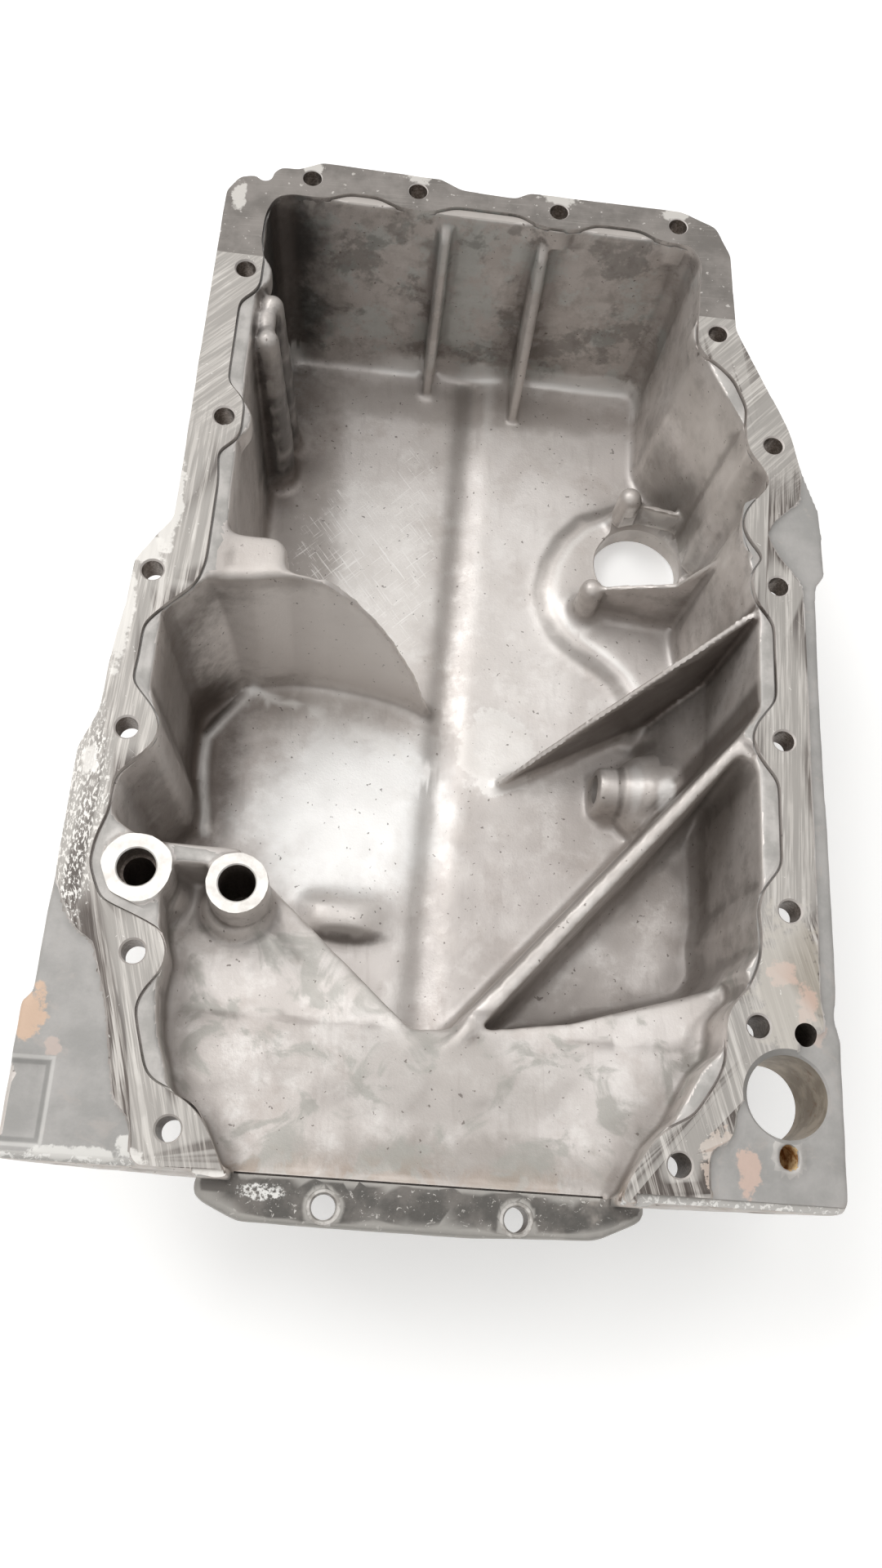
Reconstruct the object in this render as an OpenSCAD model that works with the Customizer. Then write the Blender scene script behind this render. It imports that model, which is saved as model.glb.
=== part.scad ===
// Cast aluminium engine oil pan, seen from the block side.
// One structural casting: gasket flange, deep sump, shallow ramp, bellhousing arch and wings,
// with a steel drain plug and its copper washer. Millimetres.
// Plan coordinates are taken from the near face: x across, y away from the bellhousing, z up.
// Heights below are depths under the milled gasket face.

/* [Overall] */
// Length from the near face to the far edge of the flange
pan_length = 466; // [450:1:490]

/* [Sump] */
// Depth of the sump floor under the gasket face
sump_depth = 112; // [104:1:118]
// Thickness of the cast walls
wall = 4.5; // [4:0.25:5]
// Thickness of the sump floor
floor_t = 4.5; // [4:0.25:5]
// How far the walls lean in from rim to floor
draft = 5; // [4:0.25:6]
// Depth of the shelf pocket beside the diagonal wall
pocket_depth = 78; // [72:1:84]

/* [Flange] */
// Thickness of the gasket flange
flange_t = 9; // [8.5:0.25:11]
// Height of the milled pad above the rough wings
mill_step = 1.2; // [0.8:0.1:1.4]
// Depth of the rough lip inside the milled edge
lip_step = 1.5; // [1.4:0.1:2]
// Diameter of the flange screw holes
screw_d = 9; // [8.4:0.1:9.4]
// Radius of the metal round each flange screw hole
boss_r = 12.5; // [12:0.1:13]

/* [Ramp and seal lip] */
// Depth of the ramp at the near face
lip_depth = 14; // [12:0.5:16]
// Depth of the ramp where it drops into the sump
crest_depth = 30; // [28:0.5:33]
// Diameter of the two seal lip holes
lip_hole_d = 9; // [8.4:0.1:9.6]

/* [Oil bosses] */
// Outer diameter of the large oil boss
feed_od = 27.4; // [26:0.2:28]
// Bore diameter of the large oil boss
feed_bore = 15; // [14:0.1:16]
// Outer diameter of the small oil boss
return_od = 24.6; // [23.6:0.2:25.6]
// Bore diameter of the small oil boss
return_bore = 14.4; // [13.6:0.1:15]

/* [Ports] */
// Diameter of the level sensor hole in the floor
sensor_d = 46; // [44:0.5:48]
// Diameter of the large bore in the right wing
wing_bore = 31.4; // [30:0.2:32]
// Diameter of the drain plug thread
drain_d = 14; // [12:0.5:15]
// Width across the flats of the drain plug head
plug_af = 19; // [17:0.5:21]

/* [Hidden] */
$fn = 64;
eps = 0.02;

// Everything beyond this line moves with the far edge when the length changes.
stretch_y = 355;
drawn_length = 466;
longer = pan_length - drawn_length;
function far(p) = p.y > stretch_y ? [p.x, p.y + longer] : p;
function far_all(list) = [for (p = list) far(p)];

// Reach of the whole part in plan, used to centre it over its base.
reach_left = 152.5;
reach_right = 160;
reach_near = 16;
reach_far = pan_length + 0.2;
total_h = sump_depth + floor_t;

// Flange screw holes: four on the right rail, then the others by wall.
rail_x = 138;
rail_y = 113.5;
rail_pitch = 73;
rail = [for (k = [0 : 3]) [rail_x, rail_y + k * rail_pitch]];
far_row = far_all([[-85, 456], [-34, 456], [35, 454], [94, 454]]);
left_far = far_all([[-110, 316], [-110, 397.5]]);
left_mid = [[-130, 165.5], [-130, 236.5]];
left_near = [-114.5, 76.5];
near_pair = [[-93, 14], [93, 14]];
right_far = far([113, 392]);
right_near = [124, 67];
screws = concat(rail, far_row, left_far, left_mid, [left_near], near_pair, [right_far]);
edge_hole = far([-107.4, 454.5]);
blind_hole = [142.4, 65.2];
lip_holes = [[-35.5, -8.5], [35.5, -8.5]];
feed = [-118, 109];
return = [-79.5, 106];
bore_at = [135, 41.5];
slot_at = [134.5, 19.5];
sensor_at = [100, 324];
drain_at = [193, 96];
drain_seat = 139;

// Diagonal wall between the sump and the shelf pocket.
diag_a = [6, 51.5];
diag_b = [123.5, 188.5];
diag_half = 2.2;
diag_thick = 16;
diag_top_near = [12, 17];
diag_top_far = [178, -4];

// Crest of the ramp: its edge from the small oil boss to the tip, and the bevel beside it.
crest_tip = [2.6, 49.2];
crest_far = [-62.5, 108.3];
bevel_inner = [-52.4, 78.2];
bevel_drop = 4;
ledge_drop = 1.8;

// Inner posts, pillars and ribs.
pad_z = 8 - sump_depth;
post_at = [[91, 350.5], [71.5, 294.5]];
post_r = 6.1;
fin_t = 2.8;
pillar_at = far_all([[-96.5, 384], [-96.5, 364]]);
pillar_r = 5.5;
pillar_foot_r = 12;
rib_y = far([0, 450]).y;

// Bellhousing arch.
arch_r = 166;
arch_up = 60;
arch_t = 9;
arch_rim = 17;
arch_recess = 2.5;
arch_boss_r = 11;
arch_boss_back = 5;
arch_hole_d = 11;
arch_screws = [for (a = [33, 62, 118, 147]) (arch_r - 9) * [cos(a), -sin(a)] + [0, arch_up]];

// Seal lip: its thickness, its raised seats and the two machined facets at its ends.
lip_t = 13;
seat_up = 0.5;
seat_rim = 4;
facet_x = [-82.3, 69.5];
facet_size = [12.8, 4];
facet_down = 2;

// Bosses under the wings.
wing_boss_wall = 5.5;
wing_boss_depth = 36;
blind_boss_d = 20;
blind_depth = 25;
slot_size = [6.4, 9];
slot_pad = [11, 13.4];
slot_depth = 16;
near_boss_r = 11;
near_boss_depth = 20;
edge_hole_d = screw_d - 1.5;

// Drain boss: its inner end, ring, neck and flare.
drain_inner = 78;
drain_ring_r = 11.5;
drain_neck_r = 9.8;
drain_flare = [12.5, 17.5];
drain_boss_wall = 8;
washer_t = 1.5;
washer_d = plug_af + 3;
thread_gap = 0.2;

// Plain geometry helpers.
function unit(v) = v / norm(v);
function turned(v, a) = [v.x * cos(a) - v.y * sin(a), v.x * sin(a) + v.y * cos(a)];
function right_of(d) = [d.y, -d.x];
function item(list, i) = list[(i + len(list)) % len(list)];

// Points of a corner at b between a and c, rounded to radius r in n steps.
function corner(a, b, c, r, n) =
    let (
        u = unit(a - b),
        w = unit(c - b),
        half = acos(min(1, max(-1, u * w))) / 2,
        reach = min(max(1.5, r / tan(half)), 0.45 * norm(a - b), 0.45 * norm(c - b)),
        arc_r = reach * tan(half),
        centre = b + unit(u + w) * arc_r / sin(half),
        side = cross(u, w) > 0 ? -1 : 1,
        sweep = 180 - 2 * half
    )
    half > 89.5 ? [for (k = [0 : n]) b + (k - n / 2) * w]
    : [for (k = [0 : n]) centre + turned(b + u * reach - centre, side * sweep * k / n)];

// A closed outline with every corner rounded.
function rounded(list, r, n = 2) =
    [for (i = [0 : len(list) - 1]) each corner(item(list, i - 1), list[i], item(list, i + 1), r, n)];

// The same outline moved inwards by d; the lists run clockwise, so inside is to the right.
function inset(list, d) =
    [for (i = [0 : len(list) - 1])
        let (
            before = right_of(unit(list[i] - item(list, i - 1))),
            after = right_of(unit(item(list, i + 1) - list[i]))
        )
        list[i] + (before + after) * d / (1 + before * after)];

// Swelling of an edge round a screw hole, from 1 at the hole to 0 at its ends.
function swell(t) = abs(t) >= 1 ? 0 : pow(0.5 + 0.5 * cos(180 * t), 0.6);

// An edge along p to q that bulges inwards round each hole, leaving boss_r of metal.
// The first bulge starts at step first and the last one ends at step last, out of -3 to 3.
function waved(p, q, holes, span = 18, first = -3, last = 3) =
    let (d = unit(q - p), n = right_of(d), final = len(holes) - 1)
    [for (i = [0 : final])
        let (h = holes[i], s = (h - p) * d, out = boss_r + (h - p) * n)
        each [for (k = [(i == 0 ? first : -3) : (i == final ? last : 3)])
            p + d * (s + k * span / 3) + n * max(0, out * swell(k / 3))]];

// Triangles that fill a flat, clockwise outline, cut off one corner at a time.
function turn(a, b, c) = cross(b - a, c - a);
function covers(a, b, c, p) =
    max(turn(a, b, p), turn(b, c, p), turn(c, a, p)) < 0.001
    && min(norm(p - a), norm(p - b), norm(p - c)) > 0.001;
function is_ear(pts, ids, i) =
    let (a = pts[item(ids, i - 1)], b = pts[ids[i]], c = pts[item(ids, i + 1)])
    turn(a, b, c) < -0.001 && len([for (k = ids) if (covers(a, b, c, pts[k])) k]) == 0;
function ear(pts, ids, i) = i >= len(ids) - 1 || is_ear(pts, ids, i) ? i : ear(pts, ids, i + 1);
function filled(pts, ids) =
    len(ids) < 3 ? []
    : let (i = ear(pts, ids, 0))
        concat([[item(ids, i - 1), ids[i], item(ids, i + 1)]],
            filled(pts, [for (k = [1 : len(ids) - 1]) item(ids, i + k)]));

// A closed solid through rings; each ring is [inset, z] of the same rounded outline.
module loft(outline, rings, r) {
    loops = [for (ring = rings) rounded(inset(outline, ring.x), r)];
    n = len(loops[0]);
    m = len(loops);
    top = filled(loops[0], [for (i = [0 : n - 1]) i]);
    base = filled(loops[m - 1], [for (i = [0 : n - 1]) i]);
    polyhedron(
        points = [for (k = [0 : m - 1]) each [for (p = loops[k]) [p.x, p.y, rings[k].y]]],
        faces = concat(
            top,
            [for (k = [0 : m - 2], i = [0 : n - 1])
                [k * n + i, (k + 1) * n + i, (k + 1) * n + (i + 1) % n]],
            [for (k = [0 : m - 2], i = [0 : n - 1])
                [k * n + i, (k + 1) * n + (i + 1) % n, k * n + (i + 1) % n]],
            [for (f = base) [for (i = [2, 1, 0]) f[i] + (m - 1) * n]]
        )
    );
}

// A flat plate standing on the line from p, turned by angle; its outline is [distance, height].
module plate(p, angle, outline, t) {
    translate([p.x, p.y, 0])
        rotate([0, 0, angle])
            rotate([90, 0, 0])
                translate([0, 0, -t / 2])
                    linear_extrude(t)
                        polygon(outline);
}

// A slab with its outline in the y-z plane, running along x.
module along_x(x0, x1, outline) {
    translate([x0, 0, 0])
        rotate([90, 0, 90])
            linear_extrude(x1 - x0)
                polygon(outline);
}

// Where the far wall, the sides and the ramp meet the gasket face.
diag_dir = unit(diag_b - diag_a);
function on_diag(s, side) = diag_a + diag_dir * s - right_of(diag_dir) * side * diag_half;

sump_line = far_all([
    [-103.5, 445], [105.5, 444], [104, 384], [125, 343], [127, 328], [135.5, 318], [134.5, 304],
    [124, 296], [123.5, 284], [129.5, 245], [128.5, 201], on_diag(178, 1), on_diag(9.5, 1),
    [-8.1, 58.5], [-68, 112], [-79.5, 117], [-95, 118.5], [-117, 120.5], [-131, 129],
    [-131, 145], [-118, 161], [-118, 170], [-123.5, 184], [-123.6, 220], [-104, 239.5],
    [-102, 258], [-103.5, 345]
]);

pocket_line = [
    on_diag(177, -1), [127.5, 172], [127.4, 125], [125, 113], [125.5, 98], [118, 86],
    [107.5, 82], [57, 66], [23, 60.8], on_diag(15.5, -1)
];

ramp_line = [
    [-72, -4], [-72, 1], [-82, 19], [-94, 27.5], [-101.5, 48], [-104, 64], [-102.5, 77],
    [-106, 88], [-107.5, 99], [-107.5, 112.5], [-80, 112.5], [-66, 117], [-9, 66], [17, 68],
    [57, 72], [106, 87], [119, 91], [121.5, 82], [112, 72], [110.5, 58], [101.9, 49.4],
    [91.5, 30.6], [82, 20], [72, 3], [72, -4]
];

// Rough outline of the flange and wings.
flange_line = far_all([
    [-124.8, 290], [-125, 345], [-124.5, 442], [-119, 452], [-104, 455], [-101, 460.5],
    [-92, 460.5], [-81, 466.3], [-24, 465.2], [-13, 460], [13.6, 459], [20, 463.3], [96, 463.5],
    [113, 456], [120, 440], [122, 395], [145, 343], [150, 325], [158.5, 300], [160, 268],
    [155.5, 262], [155, 210], [156.4, 85], [155, 72], [157, 64], [157, 0], [-152.5, 0],
    [-152.5, 56.5], [-149, 58], [-149, 90], [-148, 106], [-148, 155], [-142, 172], [-141, 200],
    [-138.5, 222], [-138, 240], [-131, 253], [-125, 262]
]);

// Outline of the milled gasket face.
milled_line = far_all([
    [-126, 290], [-126, 442], [-119, 453], [-104, 456], [-101, 461.5], [-92, 461.5],
    [-81, 467.3], [-24, 466.2], [-13, 461], [13.6, 460], [20, 464.3], [96, 464.5], [113, 457],
    [121, 440], [123, 395], [146, 343], [150, 318], [149, 305], [136, 291], [133.5, 285],
    [137, 276], [148, 261], [148.5, 110], [148, 85], [149.5, 67], [137, 58.5], [129, 56],
    [121, 46], [113.5, 34], [113, 25], [104, 20], [103, 8], [105, 1.2], [69, 1.2], [-69, 1.2],
    [-104, 1.2], [-106, 15], [-113.5, 24], [-121, 57], [-129, 79], [-137, 84], [-143, 94],
    [-149, 108], [-149, 155], [-143, 172], [-142, 200], [-139.5, 222], [-139, 240], [-131, 254],
    [-125, 263]
]);

// Inner edge of the milled face, bulging round each screw.
opening_line = concat(
    [[-109.5, 244], [-109.5, 284]],
    waved([-111.5, 258], [-111.5, 420], left_far, last = 0),
    far_all([[-102.3, 406], [-105.4, 413], [-105.4, 430], [-103, 438], [-98.5, 443.5],
        [-92, 445.2]]),
    waved(far([-103, 450.5]), far([110, 449.5]), far_row, first = 1, last = 0),
    far_all([[101, 440.6], [104.5, 437], [106, 431]]),
    waved(far([106.3, 431]), far([106.3, 375]), [right_far], first = -2, last = 1),
    far_all([[104.5, 380.5], [113, 375.5], [121, 367.2], [127, 352], [126, 342]]),
    waved([136.3, 350], [136.3, 100], [rail[3], rail[2], rail[1], rail[0]], first = 0, last = 0),
    [[127, 104], [126.3, 93], [122, 82], [114.5, 76], [111.4, 68], [112, 53], [108.5, 45],
        [99.5, 31.5], [90.6, 27], [83, 22.5], [77.5, 15.5], [70, 2], [70, -4], [-71.5, -4],
        [-71.5, 2], [-77, 10.5], [-83.5, 20.5], [-91, 25.7], [-101, 29.5], [-104.8, 33], [-109.6, 48],
        [-112, 56], [-109.5, 63.5], [-103, 71.5], [-102.3, 77.5], [-106, 85], [-115, 89],
        [-130.5, 95], [-136.8, 109], [-136, 120], [-132.5, 131]],
    waved([-132.5, 142], [-131.5, 214], [left_mid[0]], span = 20),
    [[-131, 198], [-131, 212], [-124.5, 220], [-112, 233]]
);

module flange() {
    translate([0, 0, -flange_t])
        linear_extrude(flange_t - mill_step)
            polygon(rounded(flange_line, 5));
    translate([0, 0, -mill_step - eps])
        linear_extrude(mill_step + eps)
            intersection() {
                polygon(rounded(flange_line, 5));
                polygon(rounded(milled_line, 4));
            }
    translate([slot_at.x, slot_at.y, -mill_step - eps])
        linear_extrude(mill_step - 0.2)
            oval(slot_pad.x, slot_pad.y);
}

// An upright oval, w across and h long.
module oval(w, h) {
    union() {
        translate([0, (h - w) / 2]) circle(d = w);
        translate([0, (w - h) / 2]) circle(d = w);
        square([w, h - w], center = true);
    }
}

module sump_shell() {
    loft(sump_line, [
        [-wall, -lip_step - 1], [draft - wall, 7 - sump_depth],
        [draft + 2.5 - wall, 1 - sump_depth], [draft + 7 - wall, -total_h]
    ], 8);
}

// The sump to the middle of its walls, which trims the forms inside it.
module sump_core() {
    loft(sump_line, [
        [-wall / 2, -1], [draft - wall / 2, 9 - sump_depth], [draft + 5, -sump_depth - floor_t / 2]
    ], 8);
}

module sump_space() {
    loft(sump_line, [
        [0, 2], [draft, 11 - sump_depth], [draft + 2.5, 5 - sump_depth], [draft + 8, -sump_depth]
    ], 8);
}

module pocket_shell() {
    loft(pocket_line, [
        [-wall, -lip_step - 1], [3 - wall, 4 - pocket_depth], [9 - wall, -pocket_depth - floor_t]
    ], 7);
}

module pocket_space() {
    loft(pocket_line, [
        [0, 2], [3, 9 - pocket_depth], [4.5, 4 - pocket_depth], [8, -pocket_depth]
    ], 7);
}

// Height of the ramp surface under the gasket face.
ramp_top = [[-30, -lip_depth], [3, -lip_depth], [60, -crest_depth], [130, -crest_depth - 1]];

module ramp_shell() {
    under = [for (i = [3 : -1 : 0]) ramp_top[i] - [0, floor_t + 1]];
    intersection() {
        translate([0, 0, -60])
            linear_extrude(60 - lip_step)
                polygon(rounded(inset(ramp_line, -wall), 4));
        along_x(-160, 160, concat([[0, under[3].y], [0, 0], [125, 0]], [under[0], under[1]]));
    }
}

module ramp_space() {
    intersection() {
        translate([0, 0, -60])
            linear_extrude(62)
                polygon(rounded(ramp_line, 4));
        along_x(-160, 160, concat(ramp_top, [[130, 3], [-30, 3]]));
    }
}

// Arch flange that bolts to the bellhousing, with its closing wall and screw bosses.
module arch() {
    intersection() {
        translate([0, arch_t, arch_up])
            rotate([90, 0, 0])
                difference() {
                    cylinder(r = arch_r, h = arch_t, $fn = 180);
                    for (z = [arch_t - arch_recess, arch_recess - 4])
                        translate([0, 0, z])
                            cylinder(r = arch_r - arch_rim, h = 4, $fn = 180);
                }
        translate([-reach_left, 0, -120])
            cube([reach_left + 157, arch_t, 120 - mill_step - 0.5]);
    }
    for (a = arch_screws)
        translate([a.x, arch_t + arch_boss_back, a.y])
            rotate([90, 0, 0])
                cylinder(r = arch_boss_r, h = arch_t + arch_boss_back);
}

// Narrow sealing lip that stands out from the near face, with its two raised seats.
module seal_lip() {
    outline = [
        [-83.5, 1], [83.5, 1], [83.5, -6], [66, -14], [20, -reach_near], [-20, -reach_near],
        [-66, -15.5], [-83.5, -8]
    ];
    translate([0, 0, -lip_depth - lip_t])
        linear_extrude(lip_t)
            polygon(rounded(outline, 7));
    for (h = lip_holes)
        translate([h.x, h.y, -lip_depth - 1])
            cylinder(d = lip_hole_d + seat_rim, h = 1 + seat_up);
    for (x = facet_x)
        translate([x, -1.8, -lip_depth - 1])
            cube([facet_size.x, facet_size.y, lip_depth + 1 - facet_down]);
}

// Outside bosses under the wings and the ramp.
module under_bosses() {
    translate([bore_at.x, bore_at.y, -wing_boss_depth])
        cylinder(d = wing_bore + 2 * wing_boss_wall, h = wing_boss_depth - 1 - mill_step);
    translate([blind_hole.x, blind_hole.y, -blind_depth - 7])
        cylinder(d = blind_boss_d, h = blind_depth + 5);
    translate([slot_at.x, slot_at.y, -slot_depth - 6])
        cylinder(d = blind_boss_d, h = slot_depth + 4);
    for (h = concat(near_pair, [right_near]))
        translate([h.x, h.y, -near_boss_depth])
            cylinder(r = near_boss_r, h = near_boss_depth - 1);
    translate([drain_seat - 25, drain_at.x, -drain_at.y])
        rotate([0, 90, 0])
            cylinder(d = drain_d + 2 * drain_boss_wall, h = 25);
    for (x = [-58, 0, 58])
        along_x(x - 2.5, x + 2.5, [[4, -20], [80, -34], [80, -108], [6, -98]]);
}

// Metal round the screws that shows inside the walls, below the milled edge.
module screw_bosses() {
    for (h = concat(screws, [right_near]))
        translate([h.x, h.y, -flange_t - 4])
            cylinder(r = boss_r - 0.3, h = flange_t + 4 - lip_step);
}

module screw_bosses_trimmed() {
    intersection() {
        screw_bosses();
        translate([0, 0, -flange_t - 5])
            linear_extrude(flange_t + 6)
                polygon(rounded(flange_line, 5));
    }
}

// Curved baffle web on the left, with the boss at its root.
web_near = [
    [-112, 236.5], [-90, 238.5], [-74, 242], [-57, 241.8], [-36, 239], [-15, 234.5], [-2, 228],
    [14, 220.5]
];
module web() {
    intersection() {
        translate([0, 0, -sump_depth - 1])
            linear_extrude(sump_depth)
                union() {
                    polygon(concat(web_near, [for (i = [7 : -1 : 0]) web_near[i] + [0.5, 3.4]]));
                    polygon([[-112, 238], [-75.5, 241.5], [-75.5, 256], [-80, 261], [-112, 261]]);
                }
        translate([0, 300, 0])
            rotate([90, 0, 0])
                linear_extrude(150)
                    polygon([
                        [-112, -3], [-75, -3], [-66, -4.5], [-58, -8.5], [-50, -15], [-43, -24],
                        [-35, -36], [-27, -50], [-16, -76], [-9, -95], [2, 3 - sump_depth],
                        [14, 0.5 - sump_depth], [14, -sump_depth - 1], [-112, -sump_depth - 1]
                    ]);
    }
}

// Two drafted pillars that stand against the left wall.
module pillars() {
    for (p = pillar_at)
        translate([p.x, p.y, 0]) {
            translate([0, 0, -sump_depth])
                cylinder(r1 = pillar_foot_r, r2 = pillar_r, h = sump_depth - 8);
            translate([0, 0, -8])
                sphere(r = pillar_r);
        }
}

// Two upright stiffening ribs on the far wall.
module wall_ribs() {
    along_x(-20.5, -16.8, [[rib_y, -6], [rib_y - 8, -9], [rib_y - 11, -14],
        [rib_y - 28, -sump_depth], [rib_y, -sump_depth]]);
    along_x(28, 32, [[rib_y, -8], [rib_y - 8, -11], [rib_y - 12, -18],
        [rib_y - 42, -sump_depth], [rib_y, -sump_depth]]);
}

// Long diagonal fin on the floor.
module long_fin() {
    plate([24, 190], 28.6, [
        [-1, -sump_depth - 1], [-1, 1 - sump_depth], [116, -4], [135, -4], [135, -sump_depth - 1]
    ], 3.2);
}

// Raised land round the level sensor hole, its two posts and their fins.
module sensor_land() {
    translate([88, 313, -sump_depth - 1])
        cylinder(r1 = 52.5, r2 = 47.5, h = 9);
    translate([0, 0, -sump_depth - 1])
        linear_extrude(9)
            polygon([[50, 280], [67, 259], [84, 246], [112, 262], [128, 290], [60, 300]]);
    for (p = post_at) {
        translate([p.x, p.y, pad_z - 1])
            cylinder(r1 = post_r + 0.8, r2 = post_r, h = 23);
        translate([p.x, p.y, pad_z + 22])
            sphere(r = post_r);
    }
    plate(post_at[0], -9, [[0, pad_z - 1], [0, pad_z + 20], [50, pad_z + 20], [50, pad_z - 1]], fin_t);
    plate(post_at[1], -6, [
        [0, pad_z - 1], [0, pad_z + 26], [6, pad_z + 27.5], [38, pad_z + 43], [52, pad_z + 76],
        [62, pad_z + 80], [62, pad_z - 1]
    ], fin_t);
}

// Raised right half of the floor, and the sloped foot of the right wall.
module floor_steps() {
    translate([0, rib_y - 4, 0])
        rotate([90, 0, 0])
            linear_extrude(rib_y - 65)
                polygon([
                    [-12, -sump_depth - 1], [-12, -sump_depth], [2, 3 - sump_depth],
                    [140, 3 - sump_depth], [140, -sump_depth - 1]
                ]);
    translate([0, 247, 0])
        rotate([90, 0, 0])
            linear_extrude(54)
                polygon([[140, -52], [131, -60], [96, 2 - sump_depth], [140, 2 - sump_depth]]);
}

// Inner end of the drain boss, with its ring, neck and flare.
module drain_boss() {
    translate([drain_inner, drain_at.x, -drain_at.y])
        rotate([0, 90, 0]) {
            cylinder(r = drain_ring_r, h = 10);
            translate([0, 0, 8])
                cylinder(r = drain_neck_r, h = 6);
            translate([0, 0, 12])
                cylinder(r1 = drain_flare[0], r2 = drain_flare[1], h = 30);
            translate([0, 0, 38])
                cylinder(d = drain_d + 2 * drain_boss_wall, h = 20);
        }
}

module inner_forms() {
    intersection() {
        union() {
            web();
            pillars();
            wall_ribs();
            long_fin();
            sensor_land();
            floor_steps();
            drain_boss();
        }
        sump_core();
    }
}

// Oil bosses that rise from the ramp, and the web between them.
module oil_bosses() {
    translate([feed.x, feed.y, -62])
        cylinder(d = feed_od, h = 62);
    translate([return.x, return.y, -62])
        cylinder(d = return_od, h = 62);
    translate([feed.x, return.y + 7.2, -50])
        cube([return.x - feed.x, 7.8, 47]);
}

// Every drilled and cast hole.
module bores() {
    for (h = concat(screws, [edge_hole, right_near]))
        translate([h.x, h.y, -60])
            cylinder(d = h == edge_hole ? edge_hole_d : screw_d, h = 62);
    for (h = near_pair)
        translate([h.x, h.y, -80])
            cylinder(r = 9, h = 60);
    translate([blind_hole.x, blind_hole.y, -blind_depth])
        cylinder(d = screw_d, h = blind_depth + 2);
    for (h = lip_holes)
        translate([h.x, h.y, -60])
            cylinder(d = lip_hole_d, h = 62);
    translate([bore_at.x, bore_at.y, -60])
        cylinder(d = wing_bore, h = 62);
    translate([slot_at.x, slot_at.y, -slot_depth])
        linear_extrude(slot_depth + 4)
            oval(slot_size.x, slot_size.y);
    translate([feed.x, feed.y, -50]) {
        cylinder(d = feed_bore - 2.4, h = 60);
        translate([0, 0, 40.5])
            cylinder(d = feed_bore, h = 12);
    }
    translate([return.x, return.y, -50])
        cylinder(d = return_bore, h = 60);
    translate([sensor_at.x, sensor_at.y, -total_h - 5])
        cylinder(d = sensor_d, h = total_h + 5 + pad_z + 2);
    translate([drain_inner - 18, drain_at.x, -drain_at.y])
        rotate([0, 90, 0])
            cylinder(d = drain_d, h = 100);
    for (a = arch_screws)
        translate([a.x, 20, a.y])
            rotate([90, 0, 0])
                cylinder(d = arch_hole_d, h = 30);
}

// Slope that takes the top off the diagonal wall.
module diagonal_top() {
    plate(diag_a, atan2(diag_dir.y, diag_dir.x), [
        [diag_top_near[0], 1.5 - crest_depth], [diag_top_near[1], 1.5 - crest_depth],
        diag_top_far, [diag_top_far.x, 3], [diag_top_near[0], 3]
    ], diag_thick);
}

// Height of the ramp at y, and of the bevel's plane at p.
function ramp_z(y) = lookup(y, ramp_top);
crest_dir = unit(crest_far - crest_tip);
bevel_low = crest_far + crest_dir * 10 + right_of(crest_dir) * 3;
bevel_points = [
    [crest_tip.x, crest_tip.y, ramp_z(crest_tip.y)],
    [bevel_inner.x, bevel_inner.y, ramp_z(bevel_inner.y)],
    [-78, 106, ramp_z(106) - bevel_drop / 2],
    [bevel_low.x, bevel_low.y, ramp_z(bevel_low.y) - bevel_drop]
];

// Bevel along the crest, which widens from the tip to the small oil boss.
module crest_bevel() {
    hull()
        for (p = bevel_points, up = [0, 20])
            translate(p + [0, 0, up])
                cube(eps);
}

// Low start of the diagonal wall, which rises out of the ramp.
module diagonal_root() {
    plate(diag_a, atan2(diag_dir.y, diag_dir.x), [
        [-1, -crest_depth - 2], [-1, ramp_z(diag_a.y)], [6, ramp_z(56) + 0.8],
        [diag_top_near[1], 1.5 - crest_depth], [diag_top_near[1], -crest_depth - 2]
    ], 2 * diag_half);
}

// Low ledge between the crest's tip and the diagonal wall.
module crest_ledge() {
    intersection() {
        translate([0, 0, -crest_depth - 4])
            linear_extrude(20)
                polygon([crest_tip, [-8.5, 58.9], [-8.5, 66], [14, 66], on_diag(10, 1), on_diag(0, 1)]);
        along_x(-20, 20, [
            [47, ramp_z(47) + 0.5], [62, ramp_z(62) - ledge_drop], [70, ramp_z(62) - ledge_drop],
            [70, 0], [47, 0]
        ]);
    }
}

module in_frame() {
    translate([(reach_left - reach_right) / 2, (reach_near - reach_far) / 2, total_h])
        children();
}

module pan_casting() {
    color("#9a938a")
        in_frame()
            difference() {
                union() {
                    difference() {
                        union() {
                            flange();
                            sump_shell();
                            pocket_shell();
                            ramp_shell();
                            arch();
                            under_bosses();
                        }
                        translate([0, 0, -lip_step])
                            linear_extrude(4)
                                polygon(opening_line);
                        sump_space();
                        pocket_space();
                        ramp_space();
                        diagonal_top();
                        crest_bevel();
                        crest_ledge();
                    }
                    diagonal_root();
                    seal_lip();
                    screw_bosses_trimmed();
                    inner_forms();
                    oil_bosses();
                }
                bores();
            }
}

module drain_plug() {
    color("#7d7a75")
        in_frame()
            translate([drain_seat + washer_t, drain_at.x, -drain_at.y])
                rotate([0, 90, 0]) {
                    cylinder(d = plug_af / cos(30), h = 7.5, $fn = 6);
                    cylinder(d = washer_d, h = 1.5);
                    translate([0, 0, -20])
                        cylinder(d = drain_d - thread_gap, h = 21);
                }
}

module drain_washer() {
    color("#b0764a")
        in_frame()
            translate([drain_seat, drain_at.x, -drain_at.y])
                rotate([0, 90, 0])
                    difference() {
                        cylinder(d = washer_d, h = washer_t);
                        translate([0, 0, -1])
                            cylinder(d = drain_d + thread_gap, h = washer_t + 2);
                    }
}

pan_casting();
drain_plug();
drain_washer();
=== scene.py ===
"""Looks for the cast aluminium engine oil pan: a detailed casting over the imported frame, its
materials, a pale floor, soft light and the camera. Lengths in the tables are millimetres in the
drawing's axes: x across, y away from the bellhousing, z up from the gasket face."""
import math

import bmesh
import bpy
import numpy as np
from mathutils import Euler, Matrix, Vector


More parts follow.
